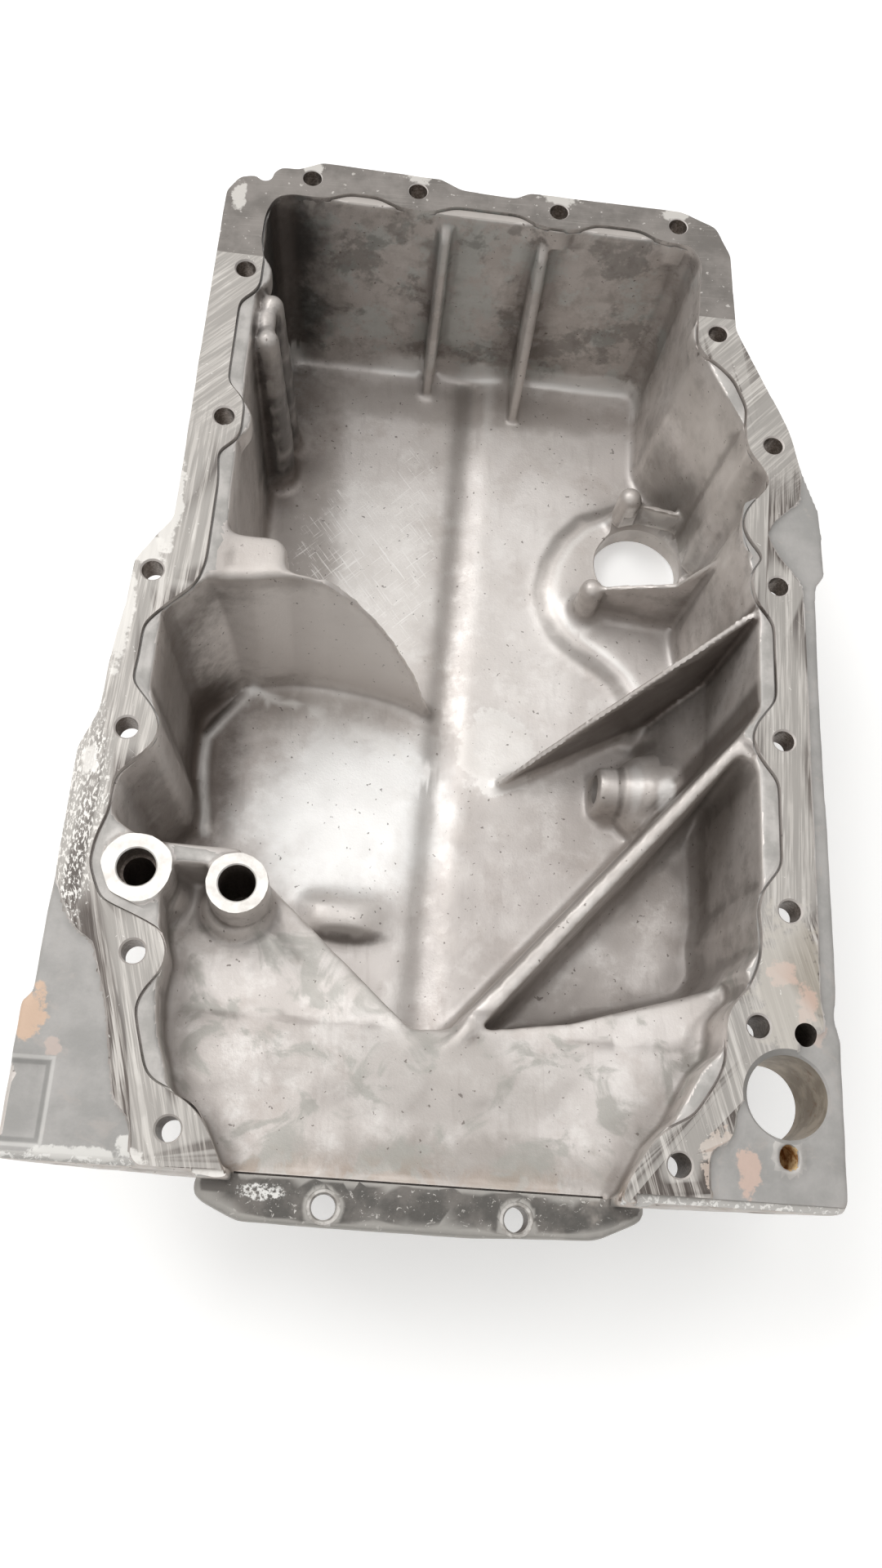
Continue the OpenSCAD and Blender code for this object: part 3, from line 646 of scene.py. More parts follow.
class Paint:
    """A material under construction: places in drawing millimetres, colours from 0 to 255."""

    def __init__(self, name, roughness, metallic):
        self.material = bpy.data.materials.new(name)
        self.material.use_nodes = True
        self.tree = self.material.node_tree
        self.shader = self.tree.nodes["Principled BSDF"]
        self.shader.inputs["Roughness"].default_value = roughness
        self.shader.inputs["Metallic"].default_value = metallic
        coord = self.add("ShaderNodeTexCoord")
        place = self.add("ShaderNodeMapping")
        place.inputs["Scale"].default_value = (1 / MM,) * 3
        place.inputs["Location"].default_value = -SHIFT
        self.link(coord.outputs["Object"], place.inputs["Vector"])
        self.place = place.outputs["Vector"]
        split = self.add("ShaderNodeSeparateXYZ")
        self.link(self.place, split.inputs[0])
        self.x, self.y, self.z = split.outputs[0], split.outputs[1], split.outputs[2]

    def add(self, kind):
        return self.tree.nodes.new(kind)

    def link(self, source, target):
        self.tree.links.new(source, target)

    def put(self, value, target):
        """Gives an input a socket, a number or a colour."""
        if isinstance(value, bpy.types.NodeSocket):
            self.link(value, target)
        else:
            target.default_value = tone(*value) if isinstance(value, tuple) else value

    def math(self, kind, a, b=0.0):
        node = self.add("ShaderNodeMath")
        node.operation = kind
        self.put(a, node.inputs[0])
        self.put(b, node.inputs[1])
        return node.outputs[0]

    def times(self, first, *others):
        """The product of two or more values."""
        for other in others:
            first = self.math("MULTIPLY", first, other)
        return first

    def across(self, line):
        """Signed distance from an upright plane through a line of the plan."""
        (ax, ay), (bx, by) = line
        length = math.hypot(bx - ax, by - ay)
        dx = self.times(self.math("SUBTRACT", self.x, ax), (by - ay) / length)
        dy = self.times(self.math("SUBTRACT", self.y, ay), (bx - ax) / length)
        return self.math("SUBTRACT", dx, dy)

    def stripe(self, value, inner, outer, place=0.0):
        """1 where the value is within inner of a place, 0 past outer."""
        off = self.math("ABSOLUTE", self.math("SUBTRACT", value, place))
        return self.span(off, inner, outer, 1.0, 0.0)

    def span(self, value, low, high, start=0.0, end=1.0):
        """A smooth rise from start at low to end at high."""
        node = self.add("ShaderNodeMapRange")
        node.interpolation_type = "SMOOTHSTEP"
        self.put(value, node.inputs["Value"])
        node.inputs["From Min"].default_value = low
        node.inputs["From Max"].default_value = high
        node.inputs["To Min"].default_value = start
        node.inputs["To Max"].default_value = end
        return node.outputs[0]

    def noise(self, size, detail=3.0, rough=0.55, vector=None, warp=0.0):
        """Noise whose patches are about size millimetres wide, from 0 to 1."""
        node = self.add("ShaderNodeTexNoise")
        node.inputs["Scale"].default_value = 1 / size
        node.inputs["Detail"].default_value = detail
        node.inputs["Roughness"].default_value = rough
        node.inputs["Distortion"].default_value = warp
        self.link(self.place if vector is None else vector, node.inputs["Vector"])
        return node.outputs["Fac"]

    def streaks(self, angle, across, length, offset=0.0):
        """Noise drawn out into streaks; angle is their turn from the y axis, in degrees."""
        node = self.add("ShaderNodeMapping")
        node.vector_type = "TEXTURE"
        node.inputs["Rotation"].default_value = (0, 0, math.radians(angle))
        node.inputs["Location"].default_value = (offset, offset, 0)
        node.inputs["Scale"].default_value = (across, length, length)
        self.link(self.place, node.inputs["Vector"])
        return self.noise(1.0, 3.0, 0.6, node.outputs["Vector"])

    def spot(self, centre, half, soft=0.35, ragged=0.9, grain=6):
        """A soft patch with a ragged edge, 1 inside: an ellipsoid, or upright where z is left out."""
        total = self.span(self.noise(grain, 5, 0.65), 0.25, 0.75, -ragged, ragged)
        for socket, c, h in zip((self.x, self.y, self.z), centre, half):
            d = self.math("DIVIDE", self.math("SUBTRACT", socket, c), h)
            total = self.math("ADD", total, self.times(d, d))
        return self.span(total, 1 - soft, 1 + soft, 1.0, 0.0)

    def spots(self, colour, places, tint, amount=0.8, soft=0.35):
        """The colour with soft patches of a tint; places are pairs of centre and half axes."""
        for centre, half in places:
            colour = self.blend(self.spot(centre, half, soft), amount, colour, tint)
        return colour

    def blend(self, fac, amount, a, b):
        """Colour a with an amount of b where fac is 1."""
        return self.mix(self.times(fac, amount), a, b)

    def mix(self, fac, a, b):
        node = self.add("ShaderNodeMix")
        node.data_type = "RGBA"
        self.put(fac, node.inputs["Factor"])
        self.put(a, node.inputs[MIX_A])
        self.put(b, node.inputs[MIX_B])
        return node.outputs[MIX_RESULT]

    def grade(self, value, low, high, a, b):
        """Colour a where the value is below low, b where it is above high."""
        return self.mix(self.span(value, low, high), a, b)

    def attribute(self, name):
        node = self.add("ShaderNodeAttribute")
        node.attribute_name = name
        return node.outputs["Fac"]

    def facing(self):
        """1 where the surface faces up, 0 on upright walls, -1 underneath."""
        node = self.add("ShaderNodeNewGeometry")
        split = self.add("ShaderNodeSeparateXYZ")
        self.link(node.outputs["Normal"], split.inputs[0])
        return split.outputs[2]

    def bump(self, height, distance, strength=1.0):
        node = self.add("ShaderNodeBump")
        node.inputs["Distance"].default_value = distance * MM
        node.inputs["Strength"].default_value = strength
        self.link(height, node.inputs["Height"])
        self.link(node.outputs[0], self.shader.inputs["Normal"])

    def finish(self, colour, roughness=None):
        self.link(colour, self.shader.inputs["Base Color"])
        if roughness is not None:
            self.link(roughness, self.shader.inputs["Roughness"])
        return self.material


def cutter_marks(paint, across, length, offset=0.0):
    """Streaks of the milling cutter, which turn from the near end to the far end."""
    near = paint.span(paint.y, 95, 125, 1.0, 0.0)
    far = paint.span(paint.y, 300, 330)
    swept = [paint.streaks(angle, across, length, offset) for angle in (17, -2, -42)]
    return paint.mix(far, paint.mix(near, swept[1], swept[0]), swept[2])


def milled_paint():
    """Milled face: dark and bright cutter marks, a stained right corner, a worn left edge, painted
    glints.
    """
    paint = Paint("milled_face", 0.45, 0.3)
    fine = cutter_marks(paint, 0.8, 34)
    wide = cutter_marks(paint, 3.0, 70, 31)
    film = paint.noise(30, 4, 0.6)
    colour = paint.grade(fine, 0.42, 0.58, (98, 90, 85), (172, 166, 160))
    colour = paint.blend(paint.span(wide, 0.5, 0.57), 0.85, colour, (84, 76, 71))
    colour = paint.blend(paint.span(wide, 0.42, 0.36), 0.7, colour, (216, 211, 205))
    colour = paint.blend(paint.span(film, 0.5, 0.62), 0.45, colour, (108, 99, 93))
    worn = paint.spot((-143, 124), (9, 44))
    specks = paint.span(cutter_marks(paint, 0.8, 2.6, 7), 0.5, 0.56)
    colour = paint.blend(worn, 0.75, colour, (104, 98, 93))
    colour = paint.blend(paint.times(worn, specks), 0.95, colour, (240, 237, 232))
    # Near-white patches; the long streaks along the left rail are painted glints.
    colour = paint.spots(colour, (
        ((-139, 214), (4, 24)), ((-134, 246), (8, 6)), ((-112, 1.5), (13, 3)),
        ((-142, 150), (3, 6)), ((-105, 4), (4, 2.5)), ((-126, 268), (4, 26)),
        ((-146, 88), (5, 8))), (240, 237, 232), 0.8)
    colour = paint.spots(colour, [((137, 84), (15, 28))], (180, 172, 160), 0.75)
    pink = [((134, 88), (6, 5)), ((143, 77), (4, 7))]
    colour = paint.spots(colour, pink, (216, 186, 170), 0.7)
    colour = paint.spots(colour, [((111.5, 15.5), (10, 12))], (204, 188, 176), 0.85, 0.1)
    scratch = paint.span(paint.streaks(52, 0.35, 26, 13), 0.72, 0.76)
    colour = paint.blend(scratch, 0.8, colour, (238, 235, 230))
    nick = paint.span(paint.noise(5, 3, 0.6, warp=2.0), 0.69, 0.73)
    colour = paint.blend(nick, 0.85, colour, (244, 241, 236))
    # Convex edges paler: wear and painted highlight.
    edge = paint.span(paint.attribute("hollow"), -0.3, -0.9, 0.0, 0.45)
    colour = paint.mix(edge, colour, (226, 222, 216))
    paint.bump(fine, 0.04, 0.5)
    return paint.finish(colour, paint.span(wide, 0.35, 0.6, 0.42, 0.54))


def far_paint():
    """Smooth dark far rail with pale worn places at the screws."""
    paint = Paint("far_flange", 0.46, 0.3)
    cloud = paint.noise(20, 5, 0.6)
    colour = paint.grade(cloud, 0.35, 0.65, (120, 115, 110), (146, 140, 135))
    thin = paint.streaks(-86, 0.6, 30)
    colour = paint.blend(paint.span(thin, 0.55, 0.72), 0.35, colour, (176, 170, 164))
    colour = paint.spots(colour, (
        ((-34, 465), (7, 4)), ((-85, 462), (4, 4)), ((35, 462), (8, 4)),
        ((92, 461), (7, 4)), ((-118, 440), (3, 9))), (224, 220, 214), 0.8)
    speck = paint.span(paint.noise(2.6, 3), 0.66, 0.7)
    colour = paint.blend(speck, 0.7, colour, (214, 209, 203))
    paint.bump(cloud, 0.05, 0.4)
    return paint.finish(colour, paint.span(cloud, 0.3, 0.7, 0.46, 0.38))


def cast_base(paint, wall, cloud):
    """Pale metal with drawn-out oil stains; walls darker and patchy, partly stain and partly painted
    shade.
    """
    large = paint.noise(70, 3, 0.55, warp=0.6)
    colour = paint.grade(large, 0.36, 0.62, (224, 218, 214), (206, 199, 194))
    colour = paint.blend(paint.span(cloud, 0.48, 0.66), 0.5, colour, (240, 236, 232))
    stain = paint.span(paint.noise(25, 5, 0.65, warp=0.2), 0.52, 0.68)
    colour = paint.blend(stain, 0.35, colour, (180, 168, 160))
    drawn = paint.span(paint.streaks(4, 5, 34, 3), 0.54, 0.7)
    colour = paint.blend(drawn, 0.25, colour, (180, 172, 167))
    # Upright walls darker, with dark patches: partly oil stain, partly painted shade.
    colour = paint.blend(wall, 0.42, colour, (172, 164, 157))
    patches = paint.span(paint.noise(13, 6, 0.7, warp=0.15), 0.46, 0.66)
    return paint.blend(paint.times(wall, patches), 0.35, colour, (118, 111, 104))


# Soft patches of the casting, stains and painted light and shade, marked above their rows: centre,
# half axes, tint, amount.
STAINS_AND_PAINTED_LIGHT = [
    # Painted shade: the far left corner, the left pocket and the left wall by the pillars.
    ((-114, 428, -50), (38, 62, 90), (36, 33, 31), 0.9),
    ((-118, 196, -108), (27, 46, 24), (84, 72, 64), 0.8),
    ((-96, 372, -72), (24, 36, 62), (40, 36, 34), 0.9),
    ((-86, 248, -4), (26, 18, 9), (190, 182, 176), 0.7),
    # Painted light on the right wall's upper part, painted shadow on its lower part.
    ((118, 340, -30), (22, 60, 26), (206, 200, 193), 0.5),
    ((112, 350, -84), (20, 50, 26), (110, 104, 97), 0.65),
    # Painted shade on the near side of the mound.
    ((-34, 113.5, -108), (18, 4, 7), (84, 75, 69), 0.85),
    ((96, 306, -104), (40, 44, 5), (176, 170, 166), 0.45),
    ((52, 140, -109), (60, 60, 9), (166, 158, 153), 0.45),
    # Painted reflections on the floor: three bright patches, and a darker one along its left side.
    ((-40, 178, -112), (46, 46, 9), (255, 254, 252), 0.95),
    ((-46, 300, -112), (42, 70, 9), (250, 247, 243), 0.5),
    ((40, 300, -109), (30, 120, 9), (246, 242, 238), 0.3),
    ((-80, 330, -112), (20, 110, 12), (128, 116, 108), 0.6),
    ((0, 418, -112), (110, 12, 9), (150, 140, 133), 0.5),
    ((4, 40, -27), (50, 22, 14), (150, 143, 136), 0.5),
    ((12, 8, -15), (62, 13, 10), (134, 126, 118), 0.6),
    # Painted shade round the drain boss: the valley at its ridge, its right side, its end and its
    # neck.
    ((106, 219, -103), (18, 4, 9), (84, 75, 69), 0.6),
    ((127, 204, -98), (5, 16, 16), (80, 71, 65), 0.8),
    ((79, 193, -97), (3, 8, 11), (58, 49, 45), 0.85),
    ((89.5, 193, -92), (2.2, 13, 16), (96, 87, 81), 0.8),
    # Painted highlights on the drain boss's top.
    ((96, 193, -84), (3, 12, 10), (252, 250, 247), 0.7),
    ((110, 188, -84), (4, 9, 10), (252, 250, 247), 0.6),
]


def cast_walls(paint, colour, wall):
    """Far wall patches, painted shade on the left wall and the fin, painted light on the web,
    diagonal band.
    """
    far = paint.times(paint.span(paint.y, 412, 436), wall)
    bluish = paint.times(far, paint.span(paint.noise(24, 5, 0.7, warp=0.15), 0.5, 0.6))
    colour = paint.blend(bluish, 0.65, colour, (196, 200, 196))
    # Darker patches on the far wall: partly stain, partly painted shade.
    dusky = paint.times(far, paint.span(paint.noise(31, 5, 0.7, warp=0.15), 0.5, 0.58))
    colour = paint.blend(dusky, 0.45, colour, (98, 94, 89))
    # Painted shade on the upper left wall.
    left = paint.times(
        paint.span(paint.x, -88, -112), paint.span(paint.z, -6, -26), paint.span(paint.y, 118, 150))
    colour = paint.blend(left, 0.5, colour, (92, 82, 76))
    # Painted light on the web's near face.
    web = paint.times(paint.spot((-40, 236, -60), (78, 26, 62), 0.5, 0.2), wall)
    colour = paint.blend(web, 0.9, colour, (244, 238, 233))
    # Painted shadow on the fin's near face.
    fin = paint.times(paint.stripe(paint.across(FIN), 3, 7), wall, paint.span(paint.z, -104, -98))
    colour = paint.blend(fin, 0.8, colour, (104, 93, 87))
    # A darker band along the diagonal wall's top and sides.
    start = DIAGONAL[0][1]
    diagonal = paint.times(
        paint.stripe(paint.across(DIAGONAL), 4, 8), paint.span(paint.y, start + 4, start + 14),
        paint.span(paint.z, -92, -80))
    return paint.blend(diagonal, 0.85, colour, (114, 106, 100))


def cast_ramp(paint, colour):
    """Painted shade on the shelf's wall, and stains of the ramp, which is brown beside the seal lip.
    """
    # Painted shade low on the shelf's wall.
    shelf_wall_shade = paint.times(
        paint.span(paint.x, 112, 122), paint.span(paint.y, 190, 150), paint.span(paint.z, -22, -40))
    colour = paint.blend(shelf_wall_shade, 0.12, colour, (104, 95, 89))
    ramp_part = paint.times(paint.span(paint.z, -36, -32), paint.span(paint.y, 112, 92))
    greenish = paint.span(paint.noise(21, 5, 0.6, warp=0.7), 0.5, 0.62)
    colour = paint.blend(paint.times(ramp_part, greenish), 0.65, colour, (164, 163, 156))
    patches = paint.span(paint.noise(14, 4, 0.6, warp=1.2), 0.42, 0.6)
    brown = paint.times(ramp_part, paint.span(paint.y, 14, 2), patches)
    return paint.blend(brown, 0.6, colour, (160, 140, 124))


def cast_places(paint, colour, wall):
    """Stains, scratches, painted shade and painted light where the photograph shows them."""
    colour = cast_walls(paint, colour, wall)
    for centre, half, tint, amount in STAINS_AND_PAINTED_LIGHT:
        colour = paint.blend(paint.spot(centre, half, 0.8, 0.5, 30), amount, colour, tint)
    colour = cast_ramp(paint, colour)
    one, two = (
        paint.span(paint.streaks(angle, 0.7, 24, offset), 0.58, 0.66)
        for angle, offset in ((38, 5), (-44, 9)))
    left, right = (
        paint.spot(centre, half)
        for centre, half in (((-50, 312, -112), (28, 46, 8)), ((-22, 330, -112), (12, 60, 8))))
    hatch = paint.times(paint.math("MAXIMUM", one, two), paint.math("MAXIMUM", left, right))
    colour = paint.blend(hatch, 0.75, colour, (250, 247, 244))
    # Painted highlight on the round pad in the floor.
    disc = paint.spot((30, 213, -108), (20.5, 22, 6), 0.12, 0.5, 14)
    return paint.blend(disc, 0.6, colour, (244, 241, 237))


def cast_paint():
    """Oil-stained as-cast metal: pale floor, darker walls, grime and painted shade in hollows, paler
    edges.
    """
    paint = Paint("cast_metal", 0.42, 0.4)
    wall = paint.span(paint.facing(), 0.3, 0.85, 1.0, 0.0)
    cloud = paint.noise(16, 6, 0.68)
    colour = cast_base(paint, wall, cloud)
    colour = cast_places(paint, colour, wall)
    slope, hollow, broad = (paint.attribute(name) for name in ("slope", "hollow", "broad"))
    # Painted shade on the floor's slopes and painted highlights on their rims and the walls' feet.
    colour = paint.mix(paint.span(slope, -0.1, -0.9, 0.0, 0.6), colour, (108, 101, 95))
    colour = paint.mix(paint.span(slope, 0.1, 0.9, 0.0, 0.85), colour, (250, 248, 245))
    high = paint.span(paint.z, -101, -94)
    web = paint.math("SUBTRACT", 1.0, paint.spot((-40, 236, -60), (78, 26, 70), 0.3, 0.0))
    # Darker in hollows and broad concave places: oil grime and painted shade, weaker low on the
    # floor, none on the web.
    crease_grime_and_shade = paint.math(
        "MAXIMUM", paint.span(hollow, 0.15, 0.9, 0.0, 0.45), paint.span(broad, 0.2, 0.9, 0.0, 0.4))
    crease_grime_and_shade = paint.times(crease_grime_and_shade, paint.math("ADD", paint.times(high, 0.8), 0.2), web)
    colour = paint.mix(crease_grime_and_shade, colour, (84, 73, 66))
    # Convex edges paler: wear and painted highlight.
    edge = paint.math(
        "MAXIMUM", paint.span(hollow, -0.2, -0.9, 0.0, 0.4), paint.span(broad, -0.25, -0.9, 0.0, 0.3))
    colour = paint.mix(edge, colour, (220, 213, 207))
    pit = paint.span(paint.noise(2.4, 2, 0.5), 0.7, 0.74)
    colour = paint.blend(pit, 0.7, colour, (96, 86, 80))
    both = paint.math("ADD", paint.times(paint.noise(1.1, 3, 0.65), 0.5), cloud)
    paint.bump(both, 0.3, 0.5)
    shine = paint.math("ADD", paint.span(cloud, 0.3, 0.7, 0.46, 0.34), paint.times(crease_grime_and_shade, 0.15))
    return paint.finish(colour, shine)


def lip_paint():
    """Smooth cast step inside the milled band, a little browner at the far wall."""
    paint = Paint("cast_lip", 0.45, 0.3)
    cloud = paint.noise(12, 4, 0.6)
    colour = paint.grade(cloud, 0.35, 0.65, (194, 190, 186), (168, 165, 161))
    colour = paint.blend(paint.span(paint.y, 404, 412), 0.8, colour, (184, 177, 171))
    paint.bump(paint.noise(1.3, 3), 0.12, 0.5)
    return paint.finish(colour)


def wing_paint():
    """Rough cast wings: flat blue-grey, rust and pink stains, a worn near edge, painted shade round
    the relief.
    """
    paint = Paint("cast_wing", 0.55, 0.2)
    cloud = paint.noise(24, 5, 0.65)
    colour = paint.grade(cloud, 0.35, 0.65, (180, 177, 174), (162, 160, 157))
    stain = paint.span(paint.noise(13, 5, 0.65, warp=1.0), 0.56, 0.68)
    colour = paint.blend(stain, 0.4, colour, (186, 178, 172))
    colour = paint.spots(colour, [((-148, 52), (6, 9))], (222, 188, 160), 0.75)
    pink = [((-138, 40), (3, 3)), ((148, 66), (3, 4))]
    colour = paint.spots(colour, pink, (206, 188, 178), 0.7)
    colour = paint.spots(colour, [((119, 14), (4.5, 8))], (222, 192, 176), 0.7)
    worn = [((-124, 3.5), (15, 2.5)), ((-106, 7), (5, 4))]
    colour = paint.spots(colour, worn, (238, 236, 231), 0.75)
    side = paint.math("SUBTRACT", RELIEF[0], paint.x)
    near, far = paint.math("SUBTRACT", paint.y, RELIEF[1]), paint.math("SUBTRACT", RELIEF[2], paint.y)
    rim = paint.math("MINIMUM", side, paint.math("MINIMUM", near, far))
    # A dark line of painted shadow at the foot of the relief's step, a pale line of painted highlight
    # on its top.
    colour = paint.blend(paint.stripe(rim, 0.4, 1.2, 1.0), 0.5, colour, (120, 120, 117))
    colour = paint.blend(paint.stripe(rim, 0.3, 1.0, -0.8), 0.5, colour, (220, 218, 214))
    chips = paint.span(paint.noise(3, 4, 0.6, warp=1.0), 0.52, 0.58)
    near_edge = paint.times(paint.span(paint.y, 3.4, 2.2), chips)
    colour = paint.blend(paint.span(paint.y, 3.4, 2.8), 0.5, colour, (206, 203, 198))
    colour = paint.blend(near_edge, 0.7, colour, (248, 246, 242))
    paint.bump(paint.noise(1.2, 3), 0.12, 0.5)
    return paint.finish(colour)


def strip_paint():
    """Seal lip: dark grey with white scuffs and paler edges."""
    paint = Paint("seal_strip", 0.48, 0.3)
    cloud = paint.noise(17, 5, 0.65)
    colour = paint.grade(cloud, 0.4, 0.62, (90, 87, 83), (118, 113, 108))
    pale = paint.times(paint.span(paint.x, 40, 62), paint.span(paint.noise(20, 4), 0.4, 0.6))
    colour = paint.blend(pale, 0.85, colour, (184, 176, 168))
    scuff = paint.span(paint.noise(3.4, 5, 0.75, warp=1.5), 0.6, 0.66)
    colour = paint.blend(scuff, 0.8, colour, (222, 218, 212))
    chips = paint.span(paint.noise(2, 4, 0.7), 0.45, 0.55)
    worn = paint.times(paint.spot((-60, -5), (8, 3)), chips)
    colour = paint.blend(worn, 0.85, colour, (244, 242, 238))
    # Convex edges paler: wear and painted highlight.
    edge = paint.span(paint.attribute("hollow"), -0.15, -0.8, 0.0, 0.6)
    colour = paint.mix(edge, colour, (196, 192, 186))
    paint.bump(paint.noise(1.2, 3), 0.15, 0.5)
    return paint.finish(colour)


def turned_paint(name, roughness, grain, high, bright, dull):
    """Turned metal with dull patches a grain wide."""
    paint = Paint(name, roughness, 0.4)
    colour = paint.grade(paint.noise(grain, 4, 0.6), 0.4, high, bright, dull)
    paint.bump(paint.noise(0.7, 2), 0.03, 0.4)
    return paint.finish(colour)


def ring_paint():
    """Rings of the oil bosses, nearly white."""
    return turned_paint("turned_ring", 0.35, 6, 0.7, (238, 235, 230), (216, 211, 205))


def seat_paint():
    """Seats round the two holes of the seal lip."""
    return turned_paint("turned_seat", 0.38, 4, 0.65, (206, 202, 197), (158, 153, 147))


def bore_paint():
    """Drilled holes: darker deeper in, as painted shade."""
    paint = Paint("drilled_bore", 0.4, 0.7)
    rings = paint.streaks(0, 1.0, 1.0)
    colour = paint.grade(rings, 0.4, 0.65, (116, 106, 99), (160, 151, 143))
    # Painted shade deeper in the hole.
    colour = paint.mix(paint.span(paint.z, -3, -12, 0.0, 0.5), colour, (74, 65, 60))
    return paint.finish(colour)


def tan_paint():
    """The wing's bore, stained tan with some rust."""
    paint = Paint("stained_bore", 0.5, 0.45)
    cloud = paint.noise(9, 4, 0.6)
    colour = paint.grade(cloud, 0.38, 0.66, (150, 138, 122), (184, 172, 156))
    rust = paint.span(paint.noise(6, 4, 0.6, warp=1.0), 0.6, 0.72, 0.0, 0.6)
    colour = paint.mix(rust, colour, (128, 96, 68))
    return paint.finish(colour)


def rust_paint():
    """The rusty slot beside the wing's bore."""
    paint = Paint("rusty_slot", 0.7, 0.1)
    cloud = paint.noise(3.2, 4, 0.7)
    colour = paint.grade(cloud, 0.4, 0.6, (146, 98, 48), (216, 188, 142))
    paint.bump(cloud, 0.3, 0.6)
    return paint.finish(colour)


def groove_oil_and_shade_paint():
    """Near-black bottom of the grooves: oil and painted shade."""
    paint = Paint("groove_oil_and_shade", 0.6, 0.4)
    colour = paint.grade(paint.noise(5, 3), 0.4, 0.6, (46, 41, 38), (74, 67, 62))
    return paint.finish(colour)


def plug_paint():
    """Plated steel of the drain plug with traces of rust."""
    paint = Paint("plated_steel", 0.34, 0.85)
    cloud = paint.noise(5, 4, 0.6)
    colour = paint.grade(cloud, 0.38, 0.66, (170, 166, 158), (138, 132, 122))
    rust = paint.span(paint.noise(3, 4, 0.6, warp=1.0), 0.64, 0.72, 0.0, 0.7)
    colour = paint.mix(rust, colour, (112, 80, 54))
    paint.bump(paint.noise(0.8, 2), 0.04, 0.4)
    return paint.finish(colour)


def washer_paint():
    """Copper of the sealing ring."""
    paint = Paint("copper_ring", 0.32, 0.9)
    cloud = paint.noise(4, 4, 0.6)
    colour = paint.grade(cloud, 0.38, 0.66, (190, 124, 82), (136, 88, 62))
    paint.bump(cloud, 0.05, 0.4)
    return paint.finish(colour)


# The casting's surfaces with their materials, in the order of the material slots.
PAINTS = {
    "cast": cast_paint, "milled": milled_paint, "far": far_paint, "lip": lip_paint,
    "wing": wing_paint, "strip": strip_paint, "ring": ring_paint, "bore": bore_paint,
    "tan": tan_paint, "rust": rust_paint, "groove": groove_oil_and_shade_paint, "seat": seat_paint,
}


def paint_zones(mesh, path):
    """Gives each face the material of the surface it belongs to."""
    centre = drawing(numbers(mesh.polygons, "center", 3))
    normal = numbers(mesh.polygons, "normal", 3)
    x, y, z = centre.T
    up = normal[:, 2] > 0.9
    side = np.abs(normal[:, 2]) < 0.5

    def within(place, r):
        return np.hypot(x - place[0], y - place[1]) < r

    corners = [(CORNER_X[1], -40), (CORNER_X[0], -40)]
    opening = inside(np.vstack([path, corners]), centre[:, :2])
    zone = np.zeros(len(x), np.int32)

    def give(name, mask):
        zone[mask] = list(PAINTS).index(name)

    give("wing", ~opening & (z > -3) & (normal[:, 2] > 0.5) & (z < -0.6))
    give("milled", (normal[:, 2] > 0.99) & (z > -0.05))
    give("far", (normal[:, 2] > 0.99) & (z > -0.35) & (z < -0.2) & (y > 399))
    give("lip", opening & up & (z > -1.9) & (z < -1.1))
    give("groove", opening & (z < -2.2) & (z > -2.9) & up & ~inside(beside(path, 1.2), centre[:, :2]))
    give("strip", (y < 1.0) & (z < -6) & (z > -30) & (np.abs(x) < 84))
    sunk = (z < LIP_TOP - 0.05) & (z > LIP_TOP - 0.6)
    give("groove", sunk & (y > 1.0) & (y < 1.7) & (np.abs(x) < 69.1))
    for place, r in ((FEED, FEED_R), (RETURN, RETURN_R)):
        give("ring", within(place, r + 0.4) & (normal[:, 2] > 0.6) & (z > -1.2))
        give("bore", within(place, FEED_BORE[0] + 0.1) & (z < -0.9))
    for hole in LIP_HOLES:
        give("seat", within(hole, 6.4) & (normal[:, 2] > 0.5) & (z > LIP_TOP - 1.2))
        give("bore", within(hole, SCREW_R + 0.05) & side)
    for hx, hy, _ in SCREWS:
        give("bore", within((hx, hy), SCREW_R + 0.1) & side)
    give("bore", within(BLIND, SCREW_R + 0.1) & (z < -0.5))
    give("tan", within(WING_BORE, WING_BORE_R + 0.15) & side)
    ends = (np.abs(x + 75.9) < 7) | (np.abs(x - 75.9) < 7)
    give("ring", ends & (y > -4) & (y < 2.4) & up & (z > -2.6) & (z < -1.5))
    give("rust", (np.abs(x - SLOT[0]) < 3.5) & (np.abs(y - SLOT[1]) < 4.8) & (z < -1))
    give("lip", within(SLOT, 7) & up & (z > -0.9) & (z < -0.1))
    mesh.polygons.foreach_set("material_index", zone)
    mesh.update()


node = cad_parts["pan_casting"]
casting = shape_casting(node)
mesh = casting.data
mesh.shade_smooth()
mesh.set_sharp_from_angle(angle=math.radians(38))
mark_hollows(mesh)
mark_slope_light_and_shade(mesh)
mesh.materials.clear()
for make in PAINTS.values():
    mesh.materials.append(make())
paint_zones(mesh, opening_path(node))
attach(casting, "root")
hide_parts("pan_casting")

for name, make in (("drain_plug", plug_paint), ("drain_washer", washer_paint)):
    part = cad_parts[name]
    finish = make()
    for slot in part.material_slots:
        slot.material = finish

# Camera at the photograph's viewing place.
camera = bpy.data.objects.new("camera", bpy.data.cameras.new("camera"))
bpy.context.scene.collection.objects.link(camera)
camera.location = (-0.04044, -0.23902, 0.5755)
camera.rotation_euler = Euler([math.radians(a) for a in (19.697, -5.378, 3.6)], "XYZ")
camera.data.lens = 28.125
camera.data.sensor_width = 36
camera.data.clip_start = 0.02
bpy.context.scene.camera = camera

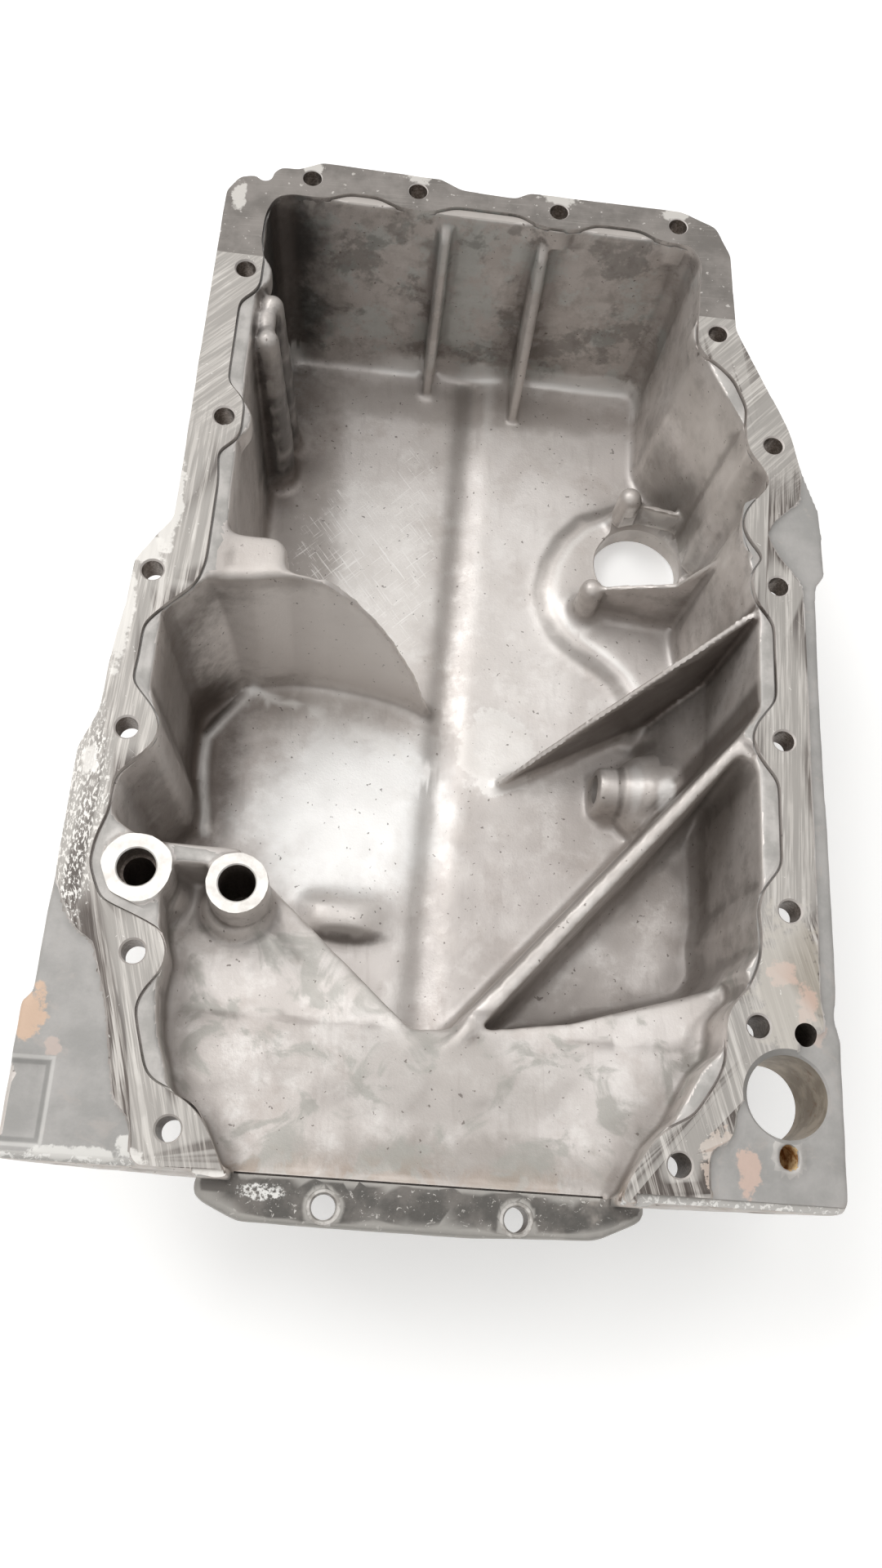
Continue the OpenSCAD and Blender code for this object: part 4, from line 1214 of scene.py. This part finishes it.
# Pale floor, which camera and mirrored rays see a little brighter so that it comes out white.
bm = bmesh.new()
bmesh.ops.create_grid(bm, x_segments=1, y_segments=1, size=3)
floor = mesh_object("floor", bm)
pale = Paint("floor_paint", 0.8, 0)
cloud = pale.noise(900, 2)
seen = pale.add("ShaderNodeLightPath")
glow = pale.math("MAXIMUM", seen.outputs["Is Camera Ray"], seen.outputs["Is Glossy Ray"])
glow = pale.math("MAXIMUM", glow, seen.outputs["Is Transmission Ray"])
pale.shader.inputs["Emission Color"].default_value = (1, 1, 1, 1)
pale.link(pale.times(glow, 0.3), pale.shader.inputs["Emission Strength"])
floor.data.materials.append(pale.finish(pale.mix(cloud, (240, 240, 239), (246, 246, 245))))

# A pale room that is brightest overhead, towards the far left, and dims near the floor.
world = bpy.data.worlds.new("world")
bpy.context.scene.world = world
world.use_nodes = True
tree = world.node_tree
back = tree.nodes["Background"]
back.inputs["Color"].default_value = (1, 0.995, 0.985, 1)
coord = tree.nodes.new("ShaderNodeTexCoord")
aim = tree.nodes.new("ShaderNodeVectorMath")
aim.operation = "DOT_PRODUCT"
aim.inputs[1].default_value = (-0.45, 0.35, 0.82)
tree.links.new(coord.outputs["Generated"], aim.inputs[0])
level = tree.nodes.new("ShaderNodeMapRange")
level.interpolation_type = "SMOOTHSTEP"
level.inputs["From Min"].default_value = -0.1
level.inputs["From Max"].default_value = 1.0
level.inputs["To Min"].default_value = 0.36
level.inputs["To Max"].default_value = 1.0
tree.links.new(aim.outputs["Value"], level.inputs["Value"])
tree.links.new(level.outputs[0], back.inputs["Strength"])


def area_lamp(name, place, aim, size, power):
    """A soft lamp at a place, turned to its aim."""
    lamp = bpy.data.lights.new(name, "AREA")
    lamp.size = size
    lamp.energy = power
    obj = bpy.data.objects.new(name, lamp)
    obj.location = place
    obj.rotation_euler = (Vector(aim) - Vector(place)).to_track_quat("-Z", "Y").to_euler()
    bpy.context.scene.collection.objects.link(obj)


area_lamp("key", (-1.5, 1.1, 2.7), (0, 0, 0.05), 1.3, 25)
area_lamp("top", (0.2, 0.4, 2.6), (0.02, 0.02, 0), 0.8, 4)

bpy.context.scene.view_settings.view_transform = "Standard"
